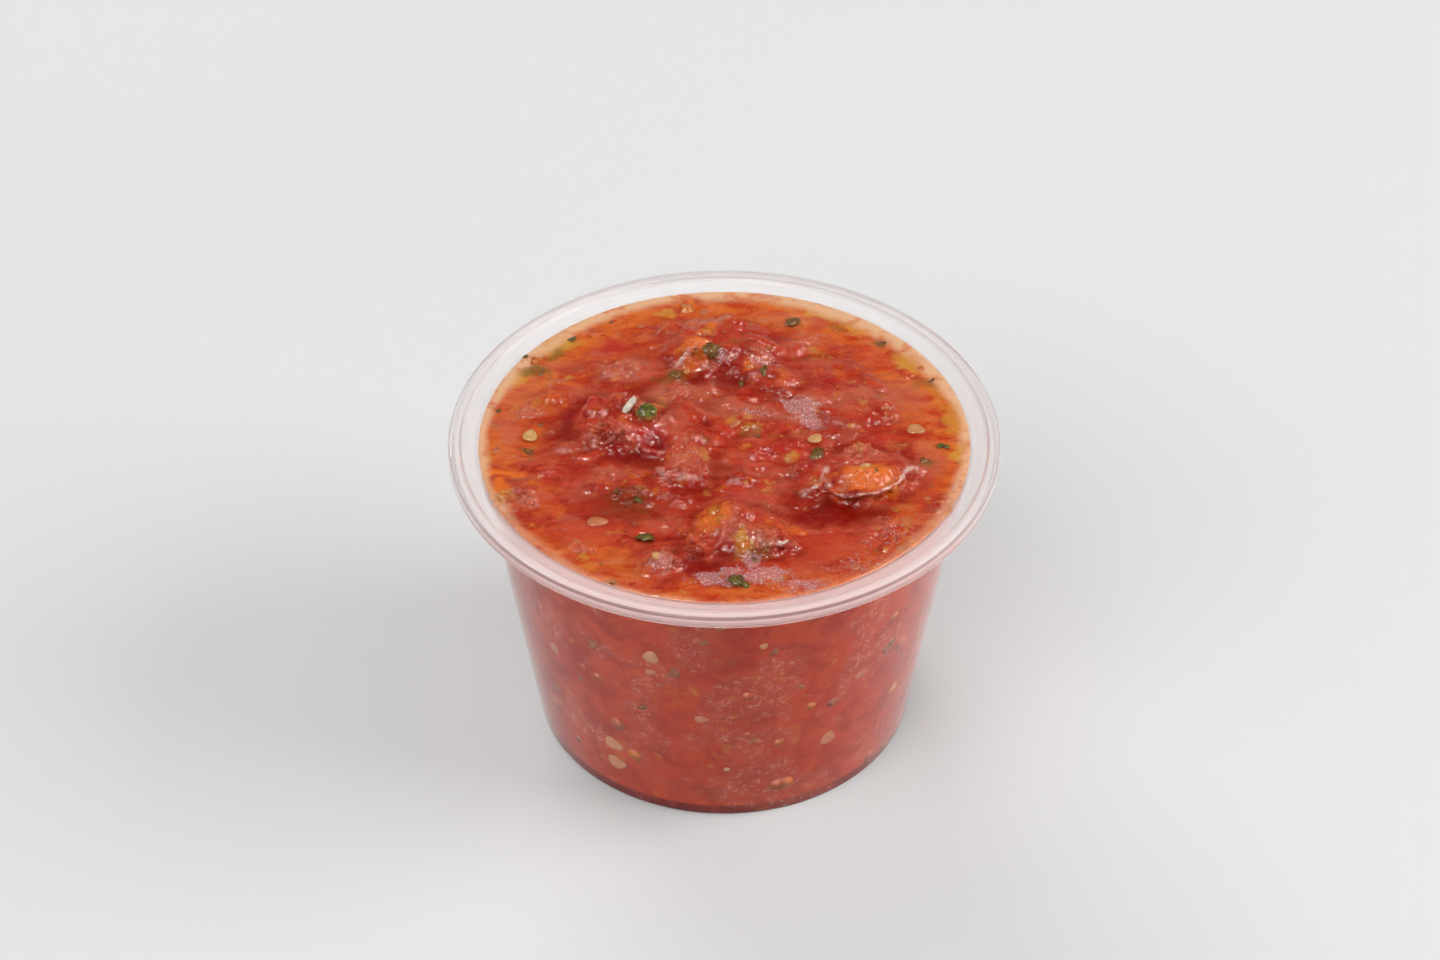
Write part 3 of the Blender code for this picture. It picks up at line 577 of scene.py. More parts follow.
def object_from(name, vertices, faces, surface, smooth=True):
    """Make an object from vertices in millimetres."""
    mesh = bpy.data.meshes.new(name)
    mesh.from_pydata((np.asarray(vertices) * MM).tolist(), [], faces)
    mesh.materials.append(surface)
    mesh.validate()
    if smooth:
        mesh.shade_smooth()
    made = bpy.data.objects.new(name, mesh)
    bpy.context.scene.collection.objects.link(made)
    return made


def turned(outline, segments):
    """Return vertices and faces of an outline turned round the axis. A radius of 0 is a point."""
    vertices = []
    faces = []
    rings = []
    for radius, height in outline:
        count = segments if radius > 0 else 1
        rings.append(range(len(vertices), len(vertices) + count))
        for number in range(count):
            angle = 2 * math.pi * number / segments
            vertices.append((radius * math.cos(angle), radius * math.sin(angle), height))
    for lower, upper in zip(rings, rings[1:]):
        for number in range(segments):
            after = (number + 1) % segments
            if len(lower) == 1:
                faces.append((lower[0], upper[after], upper[number]))
            elif len(upper) == 1:
                faces.append((lower[number], lower[after], upper[0]))
            else:
                faces.append((lower[number], lower[after], upper[after], upper[number]))
    return vertices, faces


class Nodes:
    """A short way to write a material's node tree."""

    def __init__(self, name):
        self.material = bpy.data.materials.new(name)
        self.material.use_nodes = True
        self.tree = self.material.node_tree
        self.tree.nodes.clear()
        self.output = self.tree.nodes.new("ShaderNodeOutputMaterial")

    def new(self, kind, inputs=None, **settings):
        """Add a node, set its properties, and set or link its inputs. Colours are opaque."""
        made = self.tree.nodes.new("ShaderNode" + kind)
        for key, value in settings.items():
            setattr(made, key, value)
        for key, value in (inputs or {}).items():
            socket = made.inputs[key]
            if isinstance(value, bpy.types.NodeSocket):
                self.tree.links.new(value, socket)
            else:
                socket.default_value = (*value, 1.0) if socket.type == "RGBA" else value
        return made

    def coordinates(self, x=1.0, y=1.0, z=1.0, scale=1 / MM):
        """Return the object's own coordinates, in millimetres unless scaled otherwise."""
        place = self.new("TexCoord").outputs["Object"]
        sizes = (scale * x, scale * y, scale * z)
        return self.new("Mapping", {"Vector": place, "Scale": sizes}).outputs["Vector"]

    def noise(self, place, scale, detail=3.0, roughness=0.5, distortion=0.0):
        """Return a noise value."""
        return self.new("TexNoise", {"Vector": place, "Scale": scale, "Detail": detail,
                                     "Roughness": roughness,
                                     "Distortion": distortion}).outputs["Fac"]

    def ramp(self, value, low, high, start=0.0, end=1.0):
        """Return value mapped smoothly from low..high to start..end."""
        return self.new("MapRange", {"Value": value, "From Min": low, "From Max": high,
                                     "To Min": start, "To Max": end},
                        interpolation_type="SMOOTHSTEP").outputs["Result"]

    def math(self, operation, *values):
        """Return the result of a sum with one to three values."""
        return self.new("Math", dict(enumerate(values)), operation=operation).outputs["Value"]

    def times(self, product, *factors):
        """Return the product of several values."""
        for factor in factors:
            product = self.math("MULTIPLY", product, factor)
        return product

    def away_from(self, value, middle):
        """Return how far a value is from another."""
        return self.math("ABSOLUTE", self.math("SUBTRACT", value, middle))

    def mix(self, factor, first, second):
        """Return a mix of two colours."""
        return self.new("Mix", {0: factor, 6: first, 7: second}, data_type="RGBA").outputs[2]

    def bands(self, value, tones):
        """Return one of several colours, picked by value. Tones are starts and colours."""
        made = self.new("ValToRGB", {0: value})
        ramp = made.color_ramp
        ramp.interpolation = "CONSTANT"
        for number, (start, tone) in enumerate(tones):
            stop = ramp.elements[number] if number < 2 else ramp.elements.new(start)
            stop.position = start
            stop.color = (*tone, 1.0)
        return made.outputs["Color"]

    def attribute(self, name):
        """Return a value stored on the mesh."""
        return self.new("Attribute", attribute_name=name).outputs["Fac"]

    def finish(self, shader):
        """Link the shader to the output and return the material."""
        self.tree.links.new(shader, self.output.inputs["Surface"])
        return self.material


def plastic_material():
    """Clear, slightly cloudy plastic, cloudier in the thick rim. Lamps reach what is inside.

    The rim's cloud is painted pink at the front, as if lit by the red salad, and dark lines of
    painted shade run along its top corner and along the step of the bead.
    """
    nodes = Nodes("clear_plastic")
    axes = nodes.new("SeparateXYZ", {0: nodes.coordinates()}).outputs
    height = axes["Z"]
    flat = nodes.new("CombineXYZ", {"X": axes["X"], "Y": axes["Y"]}).outputs["Vector"]
    radius = nodes.new("VectorMath", {0: flat}, operation="LENGTH").outputs["Value"]
    rim = nodes.ramp(height, HEIGHT - 1.8, HEIGHT - 1.0, 0.0, 0.32)
    band = nodes.times(nodes.ramp(radius, MOUTH_RADIUS + 0.2, MOUTH_RADIUS + 0.6, 0.0, 0.14),
                       nodes.ramp(height, HEIGHT - 1.0, HEIGHT - 0.3))
    facing = nodes.new("LayerWeight", {"Blend": 0.35}).outputs["Facing"]
    cloud = nodes.noise(nodes.coordinates(1.0, 1.0, 0.3), 0.25, 3.0)
    wall = nodes.times(nodes.ramp(facing, 0.35, 1.0, 0.0, 0.16), nodes.ramp(cloud, 0.3, 0.7, 0.7, 1.3))
    haze = nodes.math("ADD", nodes.math("ADD", rim, band), wall)
    # Painted shade: dark lines along the rim's top corner, stronger face on, and along the step of the
    # bead
    corner = nodes.times(nodes.ramp(radius, RIM_RADIUS - 0.38, RIM_RADIUS - 0.26),
                         nodes.ramp(height, HEIGHT - 0.38, HEIGHT - 0.30),
                         nodes.ramp(facing, 0.05, 0.55, 1.0, 0.3))
    step = nodes.times(nodes.ramp(nodes.away_from(radius, MOUTH_RADIUS + 0.25), 0.06, 0.16, 0.5, 0.0),
                       nodes.ramp(height, HEIGHT - 0.3, HEIGHT - 0.1))
    lines = nodes.math("MAXIMUM", corner, step)
    haze = nodes.math("MAXIMUM", haze, nodes.times(lines, 0.8))
    ripple = nodes.noise(nodes.coordinates(1.0, 1.0, 0.25), 0.2, 2.0)
    bump = nodes.new("Bump", {
        "Height": ripple, "Strength": nodes.ramp(height, HEIGHT - 3.2, HEIGHT - 1.8, 0.05, 0.0),
        "Distance": 0.0006}).outputs[0]
    clear = nodes.new("BsdfPrincipled", {
        "Base Color": (0.985, 0.98, 0.98), "Roughness": 0.04, "IOR": 1.35,
        "Transmission Weight": 1.0, "Normal": bump}).outputs[0]
    # Painted light: the cloud glows pink at the front, as if lit by the red salad through it, and is
    # greyer at the sides and near white at the back
    milk_and_painted_light = nodes.mix(nodes.ramp(axes["Y"], -34.0, -8.0), (0.97, 0.81, 0.80), (0.74, 0.68, 0.675))
    milk_and_painted_light = nodes.mix(nodes.ramp(axes["Y"], 6.0, 34.0), milk_and_painted_light, (0.84, 0.82, 0.82))
    # The painted dark lines darken the cloud's colour
    milk_and_painted_light = nodes.mix(lines, milk_and_painted_light, (0.34, 0.20, 0.20))
    milky = nodes.new("BsdfPrincipled", {
        "Base Color": milk_and_painted_light, "Roughness": 0.4, "IOR": 1.45, "Normal": bump}).outputs[0]
    seen = nodes.new("MixShader", {0: haze, 1: clear, 2: milky}).outputs[0]
    lamp = nodes.new("LightPath").outputs["Is Shadow Ray"]
    through = nodes.new("BsdfTransparent", {"Color": (0.88, 0.88, 0.88)}).outputs[0]
    return nodes.finish(nodes.new("MixShader", {0: lamp, 1: seen, 2: through}).outputs[0])


# Crushed bits: where each of their colours starts on a scale from 0 to 1. Their layers: how many
# cells of bits a millimetre holds, and how strong the bits get
BITS = ((0.0, (0.56, 0.050, 0.014)), (0.22, (0.68, 0.16, 0.016)), (0.42, (0.30, 0.010, 0.006)),
        (0.56, (0.66, 0.30, 0.05)), (0.68, (0.60, 0.15, 0.075)), (0.84, (0.24, 0.12, 0.02)),
        (0.92, (0.50, 0.018, 0.012)))
BIT_LAYERS = ((0.34, 0.7), (0.62, 0.7), (1.2, 0.55))

# Tints in the order in which they cover each other: kind, colour, greatest strength
TINT_TONES = (
    ("red", (0.62, 0.075, 0.030), 0.85), ("flesh", (0.86, 0.19, 0.02), 0.95),
    ("pale", (0.66, 0.20, 0.11), 0.72), ("crimson", (0.50, 0.014, 0.018), 0.95),
    ("yellow", (0.70, 0.33, 0.045), 0.95), ("olive", (0.20, 0.115, 0.018), 0.9),
    # The dark tone is painted shade
    ("dark", (0.26, 0.003, 0.0006), 1.0),
)


def side_colour(nodes, place):
    """Return what shows through the wall: red with pale curls, painted shade at the base.

    The curls are film against the wall, with its highlights painted into the colour.
    """
    blotch = nodes.ramp(nodes.noise(place, 0.24, 3.0, 0.55, 0.6), 0.32, 0.66)
    side = nodes.mix(blotch, (0.40, 0.022, 0.006), (0.56, 0.054, 0.014))
    height = nodes.new("SeparateXYZ", {0: place}).outputs["Z"]
    # Painted shade along the base, where the wall bends under
    side = nodes.mix(nodes.ramp(height, 2.0, 2.5, 0.95, 0.0), side, (0.20, 0.006, 0.005))
    # Pale curls: film against the wall, with its highlights painted in as colour
    curls = nodes.noise(nodes.coordinates(1.0, 1.0, 1.4), 0.55, 2.0, 0.5, 2.2)
    curls = nodes.ramp(nodes.away_from(curls, 0.5), 0.012, 0.040, 0.62, 0.0)
    broken = nodes.ramp(nodes.noise(place, 0.9, 2.0), 0.48, 0.56)
    gathered = nodes.ramp(nodes.noise(place, 0.11, 2.0), 0.46, 0.60)
    side = nodes.mix(nodes.times(gathered, 0.25), side, (0.52, 0.12, 0.075))
    side = nodes.mix(nodes.times(curls, broken, gathered), side, (0.78, 0.38, 0.30))
    onward = nodes.ramp(nodes.new("LightPath").outputs["Diffuse Depth"], 0.0, 1.0, 0.0, 0.8)
    return nodes.mix(onward, side, (0.24, 0.21, 0.21))


def with_bits(nodes, body, place, on_top):
    """Cover a colour with crushed bits of three sizes."""
    shift = nodes.new("TexNoise", {"Vector": place, "Scale": 0.7, "Detail": 3.0}).outputs["Color"]
    uneven = nodes.new("VectorMath", {0: shift, 1: (3.0, 3.0, 3.0), 2: place},
                       operation="MULTIPLY_ADD").outputs["Vector"]
    shown = nodes.ramp(on_top, 0.0, 1.0, 0.5, 1.0)
    for scale, strength in BIT_LAYERS:
        cell = nodes.new("TexVoronoi", {"Vector": uneven, "Scale": scale}, feature="F1")
        pick = nodes.new("SeparateColor", {0: cell.outputs["Color"]})
        spot = nodes.ramp(cell.outputs["Distance"], 0.15, 0.50, 1.0, 0.0)
        share = nodes.times(nodes.ramp(pick.outputs["Green"], 0.2, 1.0, 0.0, strength), shown)
        body = nodes.mix(nodes.times(spot, share), body, nodes.bands(pick.outputs["Red"], BITS))
    return body


def with_threads(nodes, body, fibres, tints):
    """Cover a colour with dark and pale threads, and with pale strands where it is ruffled."""
    threads = nodes.noise(nodes.coordinates(0.4, 1.6, 1.6), 1.3, 4.0, 0.65, 0.4)
    deep = nodes.times(nodes.ramp(threads, 0.48, 0.26), tints["on_top"], 0.22)
    body = nodes.mix(deep, body, (0.30, 0.014, 0.006))
    # Pale threads and strands stay out of the painted shade of the dark tint and of the hollows
    lit = nodes.times(nodes.ramp(tints["dark"], 0.1, 0.7, 1.0, 0.0),
                      nodes.ramp(tints["hollow"], 0.1, 0.8, 1.0, 0.2))
    light = nodes.times(nodes.ramp(threads, 0.54, 0.76), tints["on_top"], lit, 0.25)
    body = nodes.mix(light, body, (0.76, 0.26, 0.15))
    strands = nodes.times(nodes.ramp(fibres, 0.50, 0.70, 0.0, 0.5), tints["ruffled"], lit)
    return nodes.mix(strands, body, (0.74, 0.24, 0.13))


def with_foam_and_edges(nodes, body, place, tints):
    """Cover a colour with the foam's film, painted highlights on the flake lips and a pale line at the
    wall.
    """
    bubbles = nodes.new("TexVoronoi", {"Vector": place, "Scale": 3.2}, feature="F1")
    ragged = nodes.ramp(nodes.math("ADD", tints["foam"], nodes.noise(place, 0.8, 4.0, 0.6)), 0.75, 1.3)
    body = nodes.mix(nodes.times(ragged, 0.5), body, (0.62, 0.30, 0.29))
    lace = nodes.times(ragged, nodes.ramp(bubbles.outputs["Distance"], 0.16, 0.40, 0.95, 0.0))
    body = nodes.mix(lace, body, (0.90, 0.70, 0.70))
    uneven = nodes.ramp(nodes.noise(place, 0.5, 2.0), 0.42, 0.58, 0.10, 1.0)
    # Painted highlight along the lips of the flakes, broken up by noise
    body = nodes.mix(nodes.times(tints["lip"], uneven), body, (0.92, 0.64, 0.56))
    patchy = nodes.ramp(nodes.noise(place, 0.28, 3.0, 0.6, 0.5), 0.32, 0.52, 0.3, 1.0)
    return nodes.mix(nodes.times(tints["edge"], patchy), body, (0.84, 0.48, 0.27))


def salad_material():
    """Wet crushed tomato: red and pink pulp, orange juice towards the wall, painted shade in hollows."""
    nodes = Nodes("tomato_salad")
    place = nodes.coordinates()
    streaky = nodes.coordinates(0.6, 1.3, 1.3)
    mottle = nodes.ramp(nodes.noise(streaky, 0.34, 2.5, 0.5, 0.9), 0.30, 0.66)
    fibres = nodes.noise(streaky, 1.5, 4.0, 0.6, 1.4)
    grain = nodes.noise(place, 2.2, 4.0, 0.6)
    tints = {name: nodes.attribute(name)
             for name in (*TINTS, "foam", "on_top", "ruffled", "hollow", "lip", "edge")}
    on_top = tints["on_top"]

    body = nodes.mix(mottle, (0.37, 0.014, 0.006), (0.58, 0.052, 0.020))
    body = nodes.mix(on_top, side_colour(nodes, place), body)
    dusty = nodes.ramp(nodes.noise(streaky, 0.17, 4.0, 0.6, 0.8), 0.46, 0.64, 0.0, 0.42)
    dusty = nodes.times(dusty, nodes.math("SUBTRACT", on_top, tints["orange"]))
    body = nodes.mix(nodes.math("MAXIMUM", dusty, 0.0), body, (0.60, 0.165, 0.10))
    juicy = nodes.mix(mottle, (0.58, 0.036, 0.007), (0.76, 0.165, 0.024))
    peach = nodes.ramp(nodes.noise(streaky, 0.24, 4.0, 0.6, 0.8), 0.52, 0.70, 0.0, 0.48)
    juicy = nodes.mix(peach, juicy, (0.78, 0.29, 0.14))
    body = nodes.mix(nodes.times(tints["orange"], 0.95), body, juicy)
    body = with_bits(nodes, body, place, on_top)
    for name, tone, strength in TINT_TONES:
        varied = nodes.ramp(fibres, 0.25, 0.60, 0.55 * strength, strength)
        body = nodes.mix(nodes.times(tints[name], varied), body, tone)
    body = with_threads(nodes, body, fibres, tints)
    # Painted shade: the pulp darkens where it lies below the surface round it
    body = nodes.mix(nodes.times(tints["hollow"], 0.75), body, (0.26, 0.006, 0.002))
    body = with_foam_and_edges(nodes, body, place, tints)

    bump = nodes.new("Bump", {
        "Height": nodes.math("MULTIPLY_ADD", grain, 0.5, fibres),
        "Strength": nodes.ramp(tints["ruffled"], 0.0, 1.0, 0.10, 0.45),
        "Distance": 0.0004}).outputs[0]
    pulpy = nodes.math("MULTIPLY_ADD", tints["orange"], -0.18, 0.38)
    film = nodes.new("Bump", {
        "Height": nodes.noise(streaky, 1.4, 1.5, 0.5, 1.0),
        "Strength": nodes.math("MAXIMUM", pulpy, tints["ruffled"]),
        "Distance": 0.0005}).outputs[0]
    shader = nodes.new("BsdfPrincipled", {
        "Base Color": body, "Roughness": nodes.ramp(grain, 0.3, 0.7, 0.22, 0.40),
        "Subsurface Weight": 0.3, "Subsurface Radius": (1.0, 0.22, 0.10),
        "Subsurface Scale": 0.0010,
        "Specular IOR Level": nodes.ramp(on_top, 0.0, 1.0, 0.05, 0.16),
        "Coat Weight": on_top, "Coat Roughness": 0.05,
        "Coat Normal": film, "Normal": bump}).outputs[0]
    return nodes.finish(shader)


def speckled_material(name, low, high, roughness, size, scatter=0.0):
    """A wet material whose colour varies between two, with features of a size in millimetres."""
    nodes = Nodes(name)
    blotch = nodes.noise(nodes.coordinates(), 1.0 / size, 4.0, 0.6, 0.3)
    tone = nodes.mix(nodes.ramp(blotch, 0.32, 0.68), low, high)
    tone = nodes.mix(nodes.attribute("veil"), tone, (0.52, 0.075, 0.03))
    bump = nodes.new("Bump", {"Height": blotch, "Strength": 0.3, "Distance": 0.0002}).outputs[0]
    shader = nodes.new("BsdfPrincipled", {
        "Base Color": tone, "Roughness": roughness, "Subsurface Weight": scatter,
        "Subsurface Radius": (1.0, 0.7, 0.4), "Subsurface Scale": 0.0008,
        "Coat Weight": 0.5, "Coat Roughness": 0.08, "Normal": bump}).outputs[0]
    return nodes.finish(shader)


def foam_material():
    """Fine bubbles: mostly clear in the middle, whitish where their film is seen edge on."""
    nodes = Nodes("foam")
    facing = nodes.new("LayerWeight", {"Blend": 0.5}).outputs["Facing"]
    speck = nodes.noise(nodes.coordinates(), 3.0, 2.0)
    tone = nodes.mix(nodes.ramp(speck, 0.3, 0.7), (0.72, 0.38, 0.35), (0.86, 0.62, 0.60))
    film = nodes.new("BsdfPrincipled", {
        "Base Color": tone, "Roughness": 0.12, "Subsurface Weight": 0.5,
        "Subsurface Radius": (1.0, 0.8, 0.8), "Subsurface Scale": 0.0003}).outputs[0]
    clear = nodes.new("BsdfTransparent", {"Color": (1.0, 0.97, 0.96)}).outputs[0]
    shown = nodes.ramp(facing, 0.15, 0.8, 0.15, 0.7)
    return nodes.finish(nodes.new("MixShader", {0: shown, 1: clear, 2: film}).outputs[0])


def make_cup():
    """Turn the cup's outline round the axis, with its edges slightly rounded."""
    outside = outside_outline(CUP_ARC_STEPS)
    inside = offset_inward(outside, WALL)
    rim = rim_outline(outside[-1][1], inside[-1][1], CUP_ARC_STEPS)
    vertices, faces = turned(outside + rim + inside[::-1], CUP_SEGMENTS)
    cup = object_from("clear_cup", vertices, faces, plastic_material())
    rounding = cup.modifiers.new("rounding", "BEVEL")
    rounding.width = EDGE_SOFTNESS * MM
    rounding.segments = 2
    rounding.limit_method = "ANGLE"
    rounding.angle_limit = math.radians(EDGE_ANGLE)
    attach(cup, "root")
    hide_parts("cup")


class Shells:
    """Closed shells gathered in millimetres, to be joined into one skin or one piece."""

    def __init__(self):
        self.vertices = []
        self.faces = []
        self.veils = []
        self.count = 0

    def add(self, vertices, faces, veil=0.0):
        """Add one closed shell. The veil says how much juice tints it or each of its vertices."""
        self.vertices.append(np.asarray(vertices, float))
        self.faces += [tuple(corner + self.count for corner in face) for face in faces]
        self.veils.append(np.zeros(len(vertices)) + veil)
        self.count += len(vertices)

    def points(self):
        """Return all vertices as one array."""
        return np.concatenate(self.vertices)


def core_shell():
    """Return the crust of the salad: the uneven surface over a flat underside."""
    side = [(0.0, CRUST_LOW), (float(wall_radius(CRUST_LOW)), CRUST_LOW)]
    heights = np.linspace(CRUST_LOW, LEVEL, CRUST_RINGS + 2)[1:-1]
    side += [(float(wall_radius(height)), float(height)) for height in heights]
    radii = EDGE_RADIUS * np.linspace(1.0, 0.0, CORE_RINGS + 1)
    vertices, faces = turned(side + [(radius, LEVEL) for radius in radii], CORE_SEGMENTS)
    vertices = np.array(vertices)
    top = 1 + CORE_SEGMENTS * (len(side) - 1)
    vertices[top:, 2] = surface_height(vertices[top:, 0], vertices[top:, 1])
    return vertices, faces


def curve_through(points, count):
    """Return points of a smooth curve through the given ones."""
    points = np.array(points, float)
    padded = np.vstack([2 * points[0] - points[1], points, 2 * points[-1] - points[-2]])
    places = np.linspace(0, len(points) - 1, count)
    first = np.minimum(places.astype(int), len(points) - 2)
    share = (places - first)[:, None]
    a, b, c, d = (padded[first + step] for step in range(4))
    return 0.5 * (2 * b + (c - a) * share + (2 * a - 5 * b + 4 * c - d) * share ** 2
                  + (3 * b - a - 3 * c + d) * share ** 3)


def flake_surface(lip_points, root, lip_height, steps):
    """Return the upper side of a bent flake as a grid of points, from its lip back to its root.

    After the points comes how far back and along they lie, each from 0 to 1.
    """
    along = np.linspace(0, 1, steps + 1)[:, None]
    back = np.linspace(0, 1, steps + 1)[None, :]
    lip = curve_through(lip_points, steps + 1)
    line = np.array(root[0]) * (1 - along) + np.array(root[1]) * along
    place = lip[:, None, :] * (1 - back[..., None]) + line[:, None, :] * back[..., None]
    x, y = place[..., 0], place[..., 1]
    points = flat_points(x.ravel(), y.ravel(), lip_height)
    base = surface_height(x.ravel(), y.ravel()).reshape(x.shape)
    end = np.sqrt(np.sin(math.pi * along))
    rise = lip_height * end * (0.45 + 0.55 * np.exp(-(back / 0.12) ** 2))
    rise = rise * (1 - smooth_step(0.45, 1.0, back)) - 0.25
    over = base + rise + 0.20 * NOISE.layers(points, 1.7, 2).reshape(x.shape)
    folds = np.sin(FLAKE_FOLDS * math.pi * (along + 0.05 * NOISE.layers(points, 3.0, 1).reshape(x.shape)))
    over += 0.22 * lip_height / 2 * folds * (1 - back) ** 2 * smooth_step(0.02, 0.12, back)
    sway = 0.30 * NOISE.layers(points + 40.0, 2.2, 2).reshape(x.shape) * (1 - back)
    return np.stack([x + sway, y + sway, over], axis=-1), back, along


def flake_shell(lip_points, root, lip_height):
    """Return a bent flake as a closed shell, thin at its lip and deep at its root."""
    steps = FLAKE_STEPS
    over, back, along = flake_surface(lip_points, root, lip_height, steps)
    deep = np.maximum(back, (2 * along - 1) ** 6)
    under = over.copy()
    under[..., 2] -= FLAKE_THICKNESS + FLAKE_ROOT * smooth_step(0.15, 0.5, deep)
    size = steps + 1
    faces = []
    for i in range(steps):
        for j in range(steps):
            corners = (i * size + j, (i + 1) * size + j, (i + 1) * size + j + 1, i * size + j + 1)
            faces.append(corners)
            faces.append(tuple(corner + size * size for corner in reversed(corners)))
    border = [(i, 0) for i in range(steps)] + [(steps, j) for j in range(steps)]
    border += [(i, steps) for i in range(steps, 0, -1)] + [(0, j) for j in range(steps, 0, -1)]
    for (i, j), (k, m) in zip(border, border[1:] + border[:1]):
        first, second = i * size + j, k * size + m
        faces.append((first + size * size, second + size * size, second, first))
    return np.concatenate([over.reshape(-1, 3), under.reshape(-1, 3)]), faces


def taken_from(bm):
    """Return the vertices and faces of a bmesh, and free it."""
    bm.verts.index_update()
    vertices = np.array([vert.co[:] for vert in bm.verts])
    faces = [tuple(vert.index for vert in face.verts) for face in bm.faces]
    bm.free()
    return vertices, faces


def ball(subdivisions):
    """Return vertices and faces of a round ball of radius 1."""
    bm = bmesh.new()
    bmesh.ops.create_icosphere(bm, subdivisions=subdivisions, radius=1.0)
    return taken_from(bm)


def lump_shell(x, y, radius, shift, template):
    """Return a rough, rounded lump that stands partly out of the surface."""
    vertices, faces = template
    rough = NOISE.layers(vertices * 1.1 + shift, 1.0, 3)
    lump = vertices * radius * (1 + LUMP_ROUGHNESS * rough)[:, None] * (1, 1, LUMP_FLATNESS)
    height = float(surface_height(x, y)[0]) - LUMP_SINK * radius
    return lump + (x, y, height), faces


def oval_place(place, rng):
    """Return a random point of an oval patch."""
    centre_x, centre_y, half_length, half_width, turn = place
    angle = rng.uniform(0, 2 * math.pi)
    reach = math.sqrt(rng.random())
    along, across = half_length * reach * math.cos(angle), half_width * reach * math.sin(angle)
    turn = math.radians(turn)
    return (centre_x + along * math.cos(turn) - across * math.sin(turn),
            centre_y + along * math.sin(turn) + across * math.cos(turn))


def small_lumps(rng):
    """Return places and radii of the small lumps in the ruffled patches."""
    places = []
    for ruffle in RUFFLES:
        for _ in range(round(SMALL_LUMP_DENSITY * ruffle[2] * ruffle[3] * ruffle[5])):
            x, y = oval_place(ruffle[:5], rng)
            places.append((x, y, SMALLEST_LUMP + SMALL_LUMP_RANGE * rng.random() ** 1.6))
    return places


def blurred(grid, sigma):
    """Blur a grid of heights with a bell curve, sigma cells wide."""
    reach = int(3 * sigma)
    weights = np.exp(-0.5 * (np.arange(-reach, reach + 1) / sigma) ** 2)
    weights /= weights.sum()
    padded = np.pad(grid, reach, mode="edge")
    rows = np.apply_along_axis(lambda line: np.convolve(line, weights, "valid"), 0, padded)
    return np.apply_along_axis(lambda line: np.convolve(line, weights, "valid"), 1, rows)


def store(mesh, name, values):
    """Keep one value for each vertex on the mesh."""
    made = mesh.attributes.new(name, "FLOAT", "POINT")
    made.data.foreach_set("value", np.asarray(values, np.float32))


def nearness(points, lines, near, far):
    """Return 1 for points within near of one of the line points and 0 for those beyond far.

    The points are taken in parts, to save memory.
    """
    lines = lines[None, :, :]
    closest = np.concatenate([np.min(np.linalg.norm(part[:, None, :] - lines, axis=2), axis=1)
                              for part in np.array_split(points, 40)])
    return smooth_step(far, near, closest)


def sunkenness(x, y, z):
    """Return how far points lie below the surface round them, which is found on a grid."""
    half = int(GRID_REACH / GRID_CELL)
    column = np.clip((x / GRID_CELL + half).astype(int), 0, 2 * half)
    row = np.clip((y / GRID_CELL + half).astype(int), 0, 2 * half)
    grid = np.full((2 * half + 1, 2 * half + 1), LEVEL - 0.2)
    upper = z > CUT_HEIGHT + 0.5
    np.maximum.at(grid, (column[upper], row[upper]), z[upper])
    near, wide = blurred(grid, NEAR_BLUR), blurred(grid, WIDE_BLUR)
    return (wide - near)[column, row] + 0.5 * (near[column, row] - z)


def tint_strengths(x, y):
    """Return the strength of each kind of tint at each point."""
    kinds = {**TINTS, "foam": [place[:5] + place[6:] for place in FOAM]}
    tints = {}
    for number, (kind, places) in enumerate(kinds.items()):
        shift = TINT_SHIFT * number
        bent_x, bent_y = warped(x + shift, y, *TINT_WARP)
        tints[kind] = coverage(bent_x - shift, bent_y, places)
    return tints


def paint(salad):
    """Store the salad's tints on its mesh, and where it is on top, ruffled, hollow or at the wall."""
    mesh = salad.data
    points = np.empty(len(mesh.vertices) * 3)
    mesh.vertices.foreach_get("co", points)
    points = points.reshape(-1, 3) / MM
    x, y, z = points.T
    radius = np.hypot(x, y)
    wander = NOISE.layers(flat_points(x, y, 3.0), 6.0, 3)
    tints = tint_strengths(x, y)
    juicy = smooth_step(20.0, 30.5, radius + 5.0 * wander - 6.0 * smooth_step(0.0, 16.0, -y))
    tints["orange"] = np.maximum(tints["orange"], juicy)
    tints["ruffled"] = ruffling(x, y)
    # How sunken each point is, which sets the painted shade in the hollows
    tints["hollow"] = smooth_step(0.15, 0.9, sunkenness(x, y, z)) * (1 - 0.8 * tints["flesh"])
    # Painted highlight along each flake's lip, as strong as the flake's last value
    lip_highlights = [pale * nearness(points, flake_surface(lip, root, height, LIP_STEPS)[0][:, 0], *LIP_WIDTHS)
            for lip, root, height, pale in FLAKES]
    tints["lip"] = np.max(lip_highlights, axis=0)
    width = 1.3 + 2.4 * smooth_step(4.0, 28.0, y) + 1.2 * smooth_step(12.0, 28.0, np.abs(x))
    edge = smooth_step(-0.9, -0.35, (radius - EDGE_RADIUS + 0.5 * wander) / width)
    tints["edge"] = edge * (1 - 0.6 * smooth_step(0.0, 24.0, -y))
    tints["on_top"] = 1.0
    on_top = smooth_step(CUT_HEIGHT + 0.6, LEVEL - 0.5, z)
    for kind, values in tints.items():
        store(mesh, kind, values * on_top)


